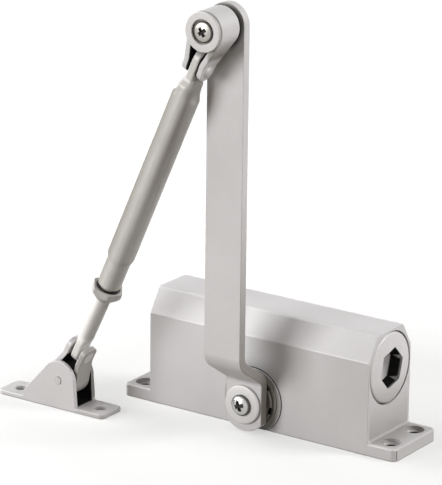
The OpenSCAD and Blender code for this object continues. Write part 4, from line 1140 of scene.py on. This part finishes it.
# Painted shade: brown on the rim of the shoe's far plate, on the side that faces the body
def farRim(shade):
    side = shade.along(yAxis, pinAt)
    return (shade.rise(side, 6.6, 6.9, 0.85) * shade.fall(side, 8.5, 8.8)
            * shade.rise(shade.along(xAxis, pinAt), 2.0, 6.0) * shade.rise(shade.along(zAxis, pinAt), -12.5, -11.0))


# Painted shade: black between the shoe's ears
def shoeInside(shade):
    half = shoe["width"] / 2 - shoe["thick"]
    return betweenEars(shade, pinAt, yAxis, half, -xAxis, shoe["blackFrom"], shoe["blackTo"])


# Painted shade: black inside the link's fork, and brown on one of its ears, growing upwards
linkSatin = satinCoat("linkSatin", satinLook, insideFork(link, pinAt, footAxis, linkUp),
                      lambda shade: fading(shade, pinAt, linkUp, -8.0, 4.0, 0.65, footAxis, 3.0, 4.5))
# Painted shade: black between the ears, brown along the base and on the far plate's rim; also a little brown over
# the plate's near end, past the ears
shoeSatin = satinCoat("shoeSatin", satinLook, shoeInside, lambda shade: shade.largest(
    baseLine(shade), fading(shade, pinAt, xAxis, 10.5, 13.0, 0.25), farRim(shade)))
# Painted shade in a crescent at the rim of the shoe pin and of the foot rivet
pinSatin = drawnMetal("pinSatin", paleLook, lambda shade: crescent(shade, pinAt, xAxis, zAxis, 2.2, (1, 0, 0.3)))
footRivetSatin = drawnMetal("footRivetSatin", paleLook,
                            lambda shade: crescent(shade, footAt, yAxis, linkUp, 2.6, (0, -0.3, 1)))


# One end of the shoe's plate: an outline from its middle to a tip, drilled for a screw
def shoeEnd(end, hole, split):
    s = shoe
    tip, t, r = abs(end - split), s["thick"], s["holeR"]
    side = s["width"] / 2 - s["sideIn"]  # the ears' faces stand just proud of the plate's sides
    outline = filleted([(tip, -side), (tip, side), (0, side), (0, -side)], [s["corner"], s["corner"], 0, 0], 7)
    outline = densified(outline, s["step"])
    inward = inwardOf(outline)
    inward[outline[:, 0] < 1.5] *= (0, 1)
    seam = outline[:, 0] < tiny
    inward[seam] = 0
    for way in (-1, 1):
        inward[seam & (outline[:, 1] * way > side - tiny)] = (0, -way)
    walls = [(r + 0.2, 0.0), (r, 0.2), (r, t - 0.3), (r + 0.3, t)]
    return drilled(outline, inward, (abs(hole - split), 0), walls, t, (s["edge"], 3), (s["edge"], 3))


# Shoe: a drilled plate in two halves, and an upright ear along each side with a round top
def makeShoe():
    s = shoe
    half, t = s["width"] / 2, s["thick"]
    split = s["holeNear"] - s["span"] / 2
    shell = Shell()
    for end, hole, way in ((s["near"], s["holeNear"], 1), (s["near"] - s["length"], s["holeNear"] - s["span"], -1)):
        shell.grid(shoeEnd(end, hole, split) * (way, 1, 1) + (split, 0, 0), joined=True)
    arcTurn = np.linspace(radians(s["earTurn"]), 0, 28)
    arc = (s["topX"], s["topZ"]) + s["topR"] * np.stack([np.cos(arcTurn), np.sin(arcTurn)], axis=1)
    ear = np.concatenate([[(-s["far"], s["earLow"]), (-s["far"], s["earFoot"])], arc,
                          [(s["earNear"], s["earLow"])]])
    ear = filleted(ear[::-1], [0.0] + [0.0] * len(arc) + [s["kneeR"], 0.0], 4)
    ear = densified(ear, 1.5)
    for y in (-half + t / 2, half - t / 2):
        shell.join(plate(ear, t, s["edge"] * 0.8, lambda x, z, h, y=y: np.stack([x, y + h, z], axis=-1)))
    seamX = pinAt[0] + split
    shell.make("shoePlate", shoeSatin, "shoe", "shoe", "satin_silver", Place(pinAt * (1, 1, 0)),
               cut=lambda p: abs(p[:, 0] - seamX) < 1e-3)
    r, bevel, end = pin["r"], pin["bevel"], half + pin["proud"]
    rows = [(r - bevel, -end), (r, bevel - end), (r, end - bevel), (r - bevel, end)]
    turned(rows, 64).make("shoePin", pinSatin, "shoe", "shoe_pin", "machined_steel", facing(pinAt, -1))


fork(link).make("footLink", linkSatin, "foot", "foot_link", "satin_silver", Place(pinAt, footAxis, yAxis, -linkUp))
makeRivet("footRivet", "foot_rivet", footRivetSatin, footAt, footAxis, "foot", link, rivet["flush"])
makeShoe()
print("foot made")


# CAD nodes that show get the finish of their kind. Each of the others has a piece in its place.
rubber = sealRubber("sealRubber")
turnedBrass = drawnMetal("turnedBrass", toned(nickelLook, (0.6, 0.45, 0.2), (0.72, 0.56, 0.28),
                                              rough=0.3, drawn=yAxis, metal=1.0))
kept = {
    rubber: ["spring_end_seal", "pressure_end_seal", "front_nut_seal", "rear_nut_seal", "front_shaft_seal",
             "rear_shaft_seal", "closing_valve_seal", "latching_valve_seal"],
    turnedBrass: ["closing_speed_valve", "latching_speed_valve", "check_valve_retainer", "elbow_bush", "foot_bush"],
    groundSteel: ["pinion", "piston", "spring_seat", "front_bearing", "rear_bearing", "elbow_pin", "elbow_spacer",
                  "check_valve_ball"],
    castSatin: ["rear_dust_cap"],
}
for material, names in kept.items():
    for name in names:
        node = frame["nodes"][name]
        node.data.materials.clear()
        node.data.materials.append(material)


# Floor, lights and camera. The floor's own tone takes the shadows, and the white world shows through the rest of
# it, so that an arm that swings below the mounting face isn't hidden. From below, and for light on its way down,
# the floor is clear. near and far: how much shows through, paint and faint: the floor's tone, distances in metres.
studio = {"size": 6.0, "paint": 0.42, "faint": 0.05, "paintTo": 0.28, "faintFrom": 0.65, "near": 0.52, "far": 1.0,
          "nearTo": 0.12, "farFrom": 0.5, "bounce": 0.14, "world": 0.06, "warm": (1.0, 0.82, 0.58)}
lamps = [
    # name, place, width, power
    ("keySoft", (-0.62, -1.2, 0.42), 0.7, 14.5),
    ("leftSoft", (-1.05, -0.2, 1.05), 0.8, 8.5),
    ("leftLow", (-1.3, -0.35, 0.5), 0.6, 7.5),
    ("backSoft", (0.0, 1.3, 0.8), 0.8, 1.5),
    ("rightSoft", (1.05, 0.5, 0.95), 0.5, 13.0),
    ("endSoft", (1.3, -0.05, 0.3), 0.5, 5.0),
]
lampAim = (0, 0, 0.1)


# 1 for rays that show the background: from the camera, or off gloss and through glass
def seenRay(shade):
    path = shade.tree.nodes.new("ShaderNodeLightPath")
    rays = [Value(shade, path.outputs[name]) for name in ("Is Camera Ray", "Is Glossy Ray", "Is Transmission Ray")]
    return shade.math("MINIMUM", rays[0] + rays[1] + rays[2], 1.0)


def makeFloor():
    mesh = bpy.data.meshes.new("floor")
    size = studio["size"]
    mesh.from_pydata([(-size, -size, 0), (size, -size, 0), (size, size, 0), (-size, size, 0)], [], [(0, 1, 2, 3)])
    floor = bpy.data.objects.new("floor", mesh)
    bpy.context.scene.collection.objects.link(floor)
    shade = Shade("floorPaint")

    def surface(kind, colour):
        return shade.add(kind, sockets={"Color": colour})

    reach = shade.radius((0, 0, 0), xAxis, yAxis) * mm
    through = shade.mixShader(shade.rise(reach, studio["nearTo"], studio["farFrom"]),
                              *(surface("BsdfTransparent", grey(studio[key])) for key in ("near", "far")))
    paint = shade.mixShader(shade.rise(reach, studio["paintTo"], studio["faintFrom"]),
                            *(surface("BsdfDiffuse", grey(studio[key])) for key in ("paint", "faint")))
    shown = shade.add("AddShader", sockets={0: paint, 1: through})
    dim = surface("BsdfDiffuse", rgb(*(studio["bounce"] * tone for tone in studio["warm"])))
    above = shade.mixShader(seenRay(shade), dim, shown)
    behind = shade.add("NewGeometry", out="Backfacing")
    shade.add("OutputMaterial", sockets={
        "Surface": shade.mixShader(behind, above, surface("BsdfTransparent", grey(1.0)))})
    mesh.materials.append(shade.material)


def makeWorld():
    world = bpy.data.worlds.new("studio")
    bpy.context.scene.world = world
    shade = Shade(world)
    soft, white = (shade.add("Background", sockets={"Color": colour, "Strength": strength})
                   for colour, strength in ((rgb(*studio["warm"]), studio["world"]), (grey(1.0), 1.0)))
    shade.add("OutputWorld", sockets={"Surface": shade.mixShader(seenRay(shade), soft, white)})


def makeLamps():
    for name, at, width, power in lamps:
        data = bpy.data.lights.new(name, "AREA")
        data.size, data.energy = width, power
        lamp = bpy.data.objects.new(name, data)
        lamp.location = at
        lamp.rotation_euler = (Vector(lampAim) - Vector(at)).to_track_quat("-Z", "Y").to_euler()
        bpy.context.scene.collection.objects.link(lamp)


camera = {"at": (0.92905, -1.42032, 0.63651), "azimuth": 34.22, "elevation": 17.70, "roll": 0.71, "focal": 3479.1,
          "high": 485, "sensor": 36}


def makeCamera():
    data = bpy.data.cameras.new("view")
    data.sensor_fit = "VERTICAL"
    data.sensor_height = camera["sensor"]
    data.lens = camera["focal"] * camera["sensor"] / camera["high"]
    az, el, roll = (radians(camera[key]) for key in ("azimuth", "elevation", "roll"))
    forward = np.array([-sin(az) * cos(el), cos(az) * cos(el), -sin(el)])
    right = np.array([cos(az), sin(az), 0])
    up = np.cross(right, forward)
    right, up = cos(roll) * right + sin(roll) * up, -sin(roll) * right + cos(roll) * up
    view = bpy.data.objects.new("view", data)
    rows = np.stack([right, up, -forward, camera["at"]], axis=1)
    view.matrix_world = Matrix([*rows.tolist(), [0, 0, 0, 1]])
    bpy.context.scene.collection.objects.link(view)
    bpy.context.scene.camera = view


makeFloor()
makeWorld()
makeLamps()
makeCamera()
bpy.context.scene.view_settings.view_transform = "Standard"
print("studio made")
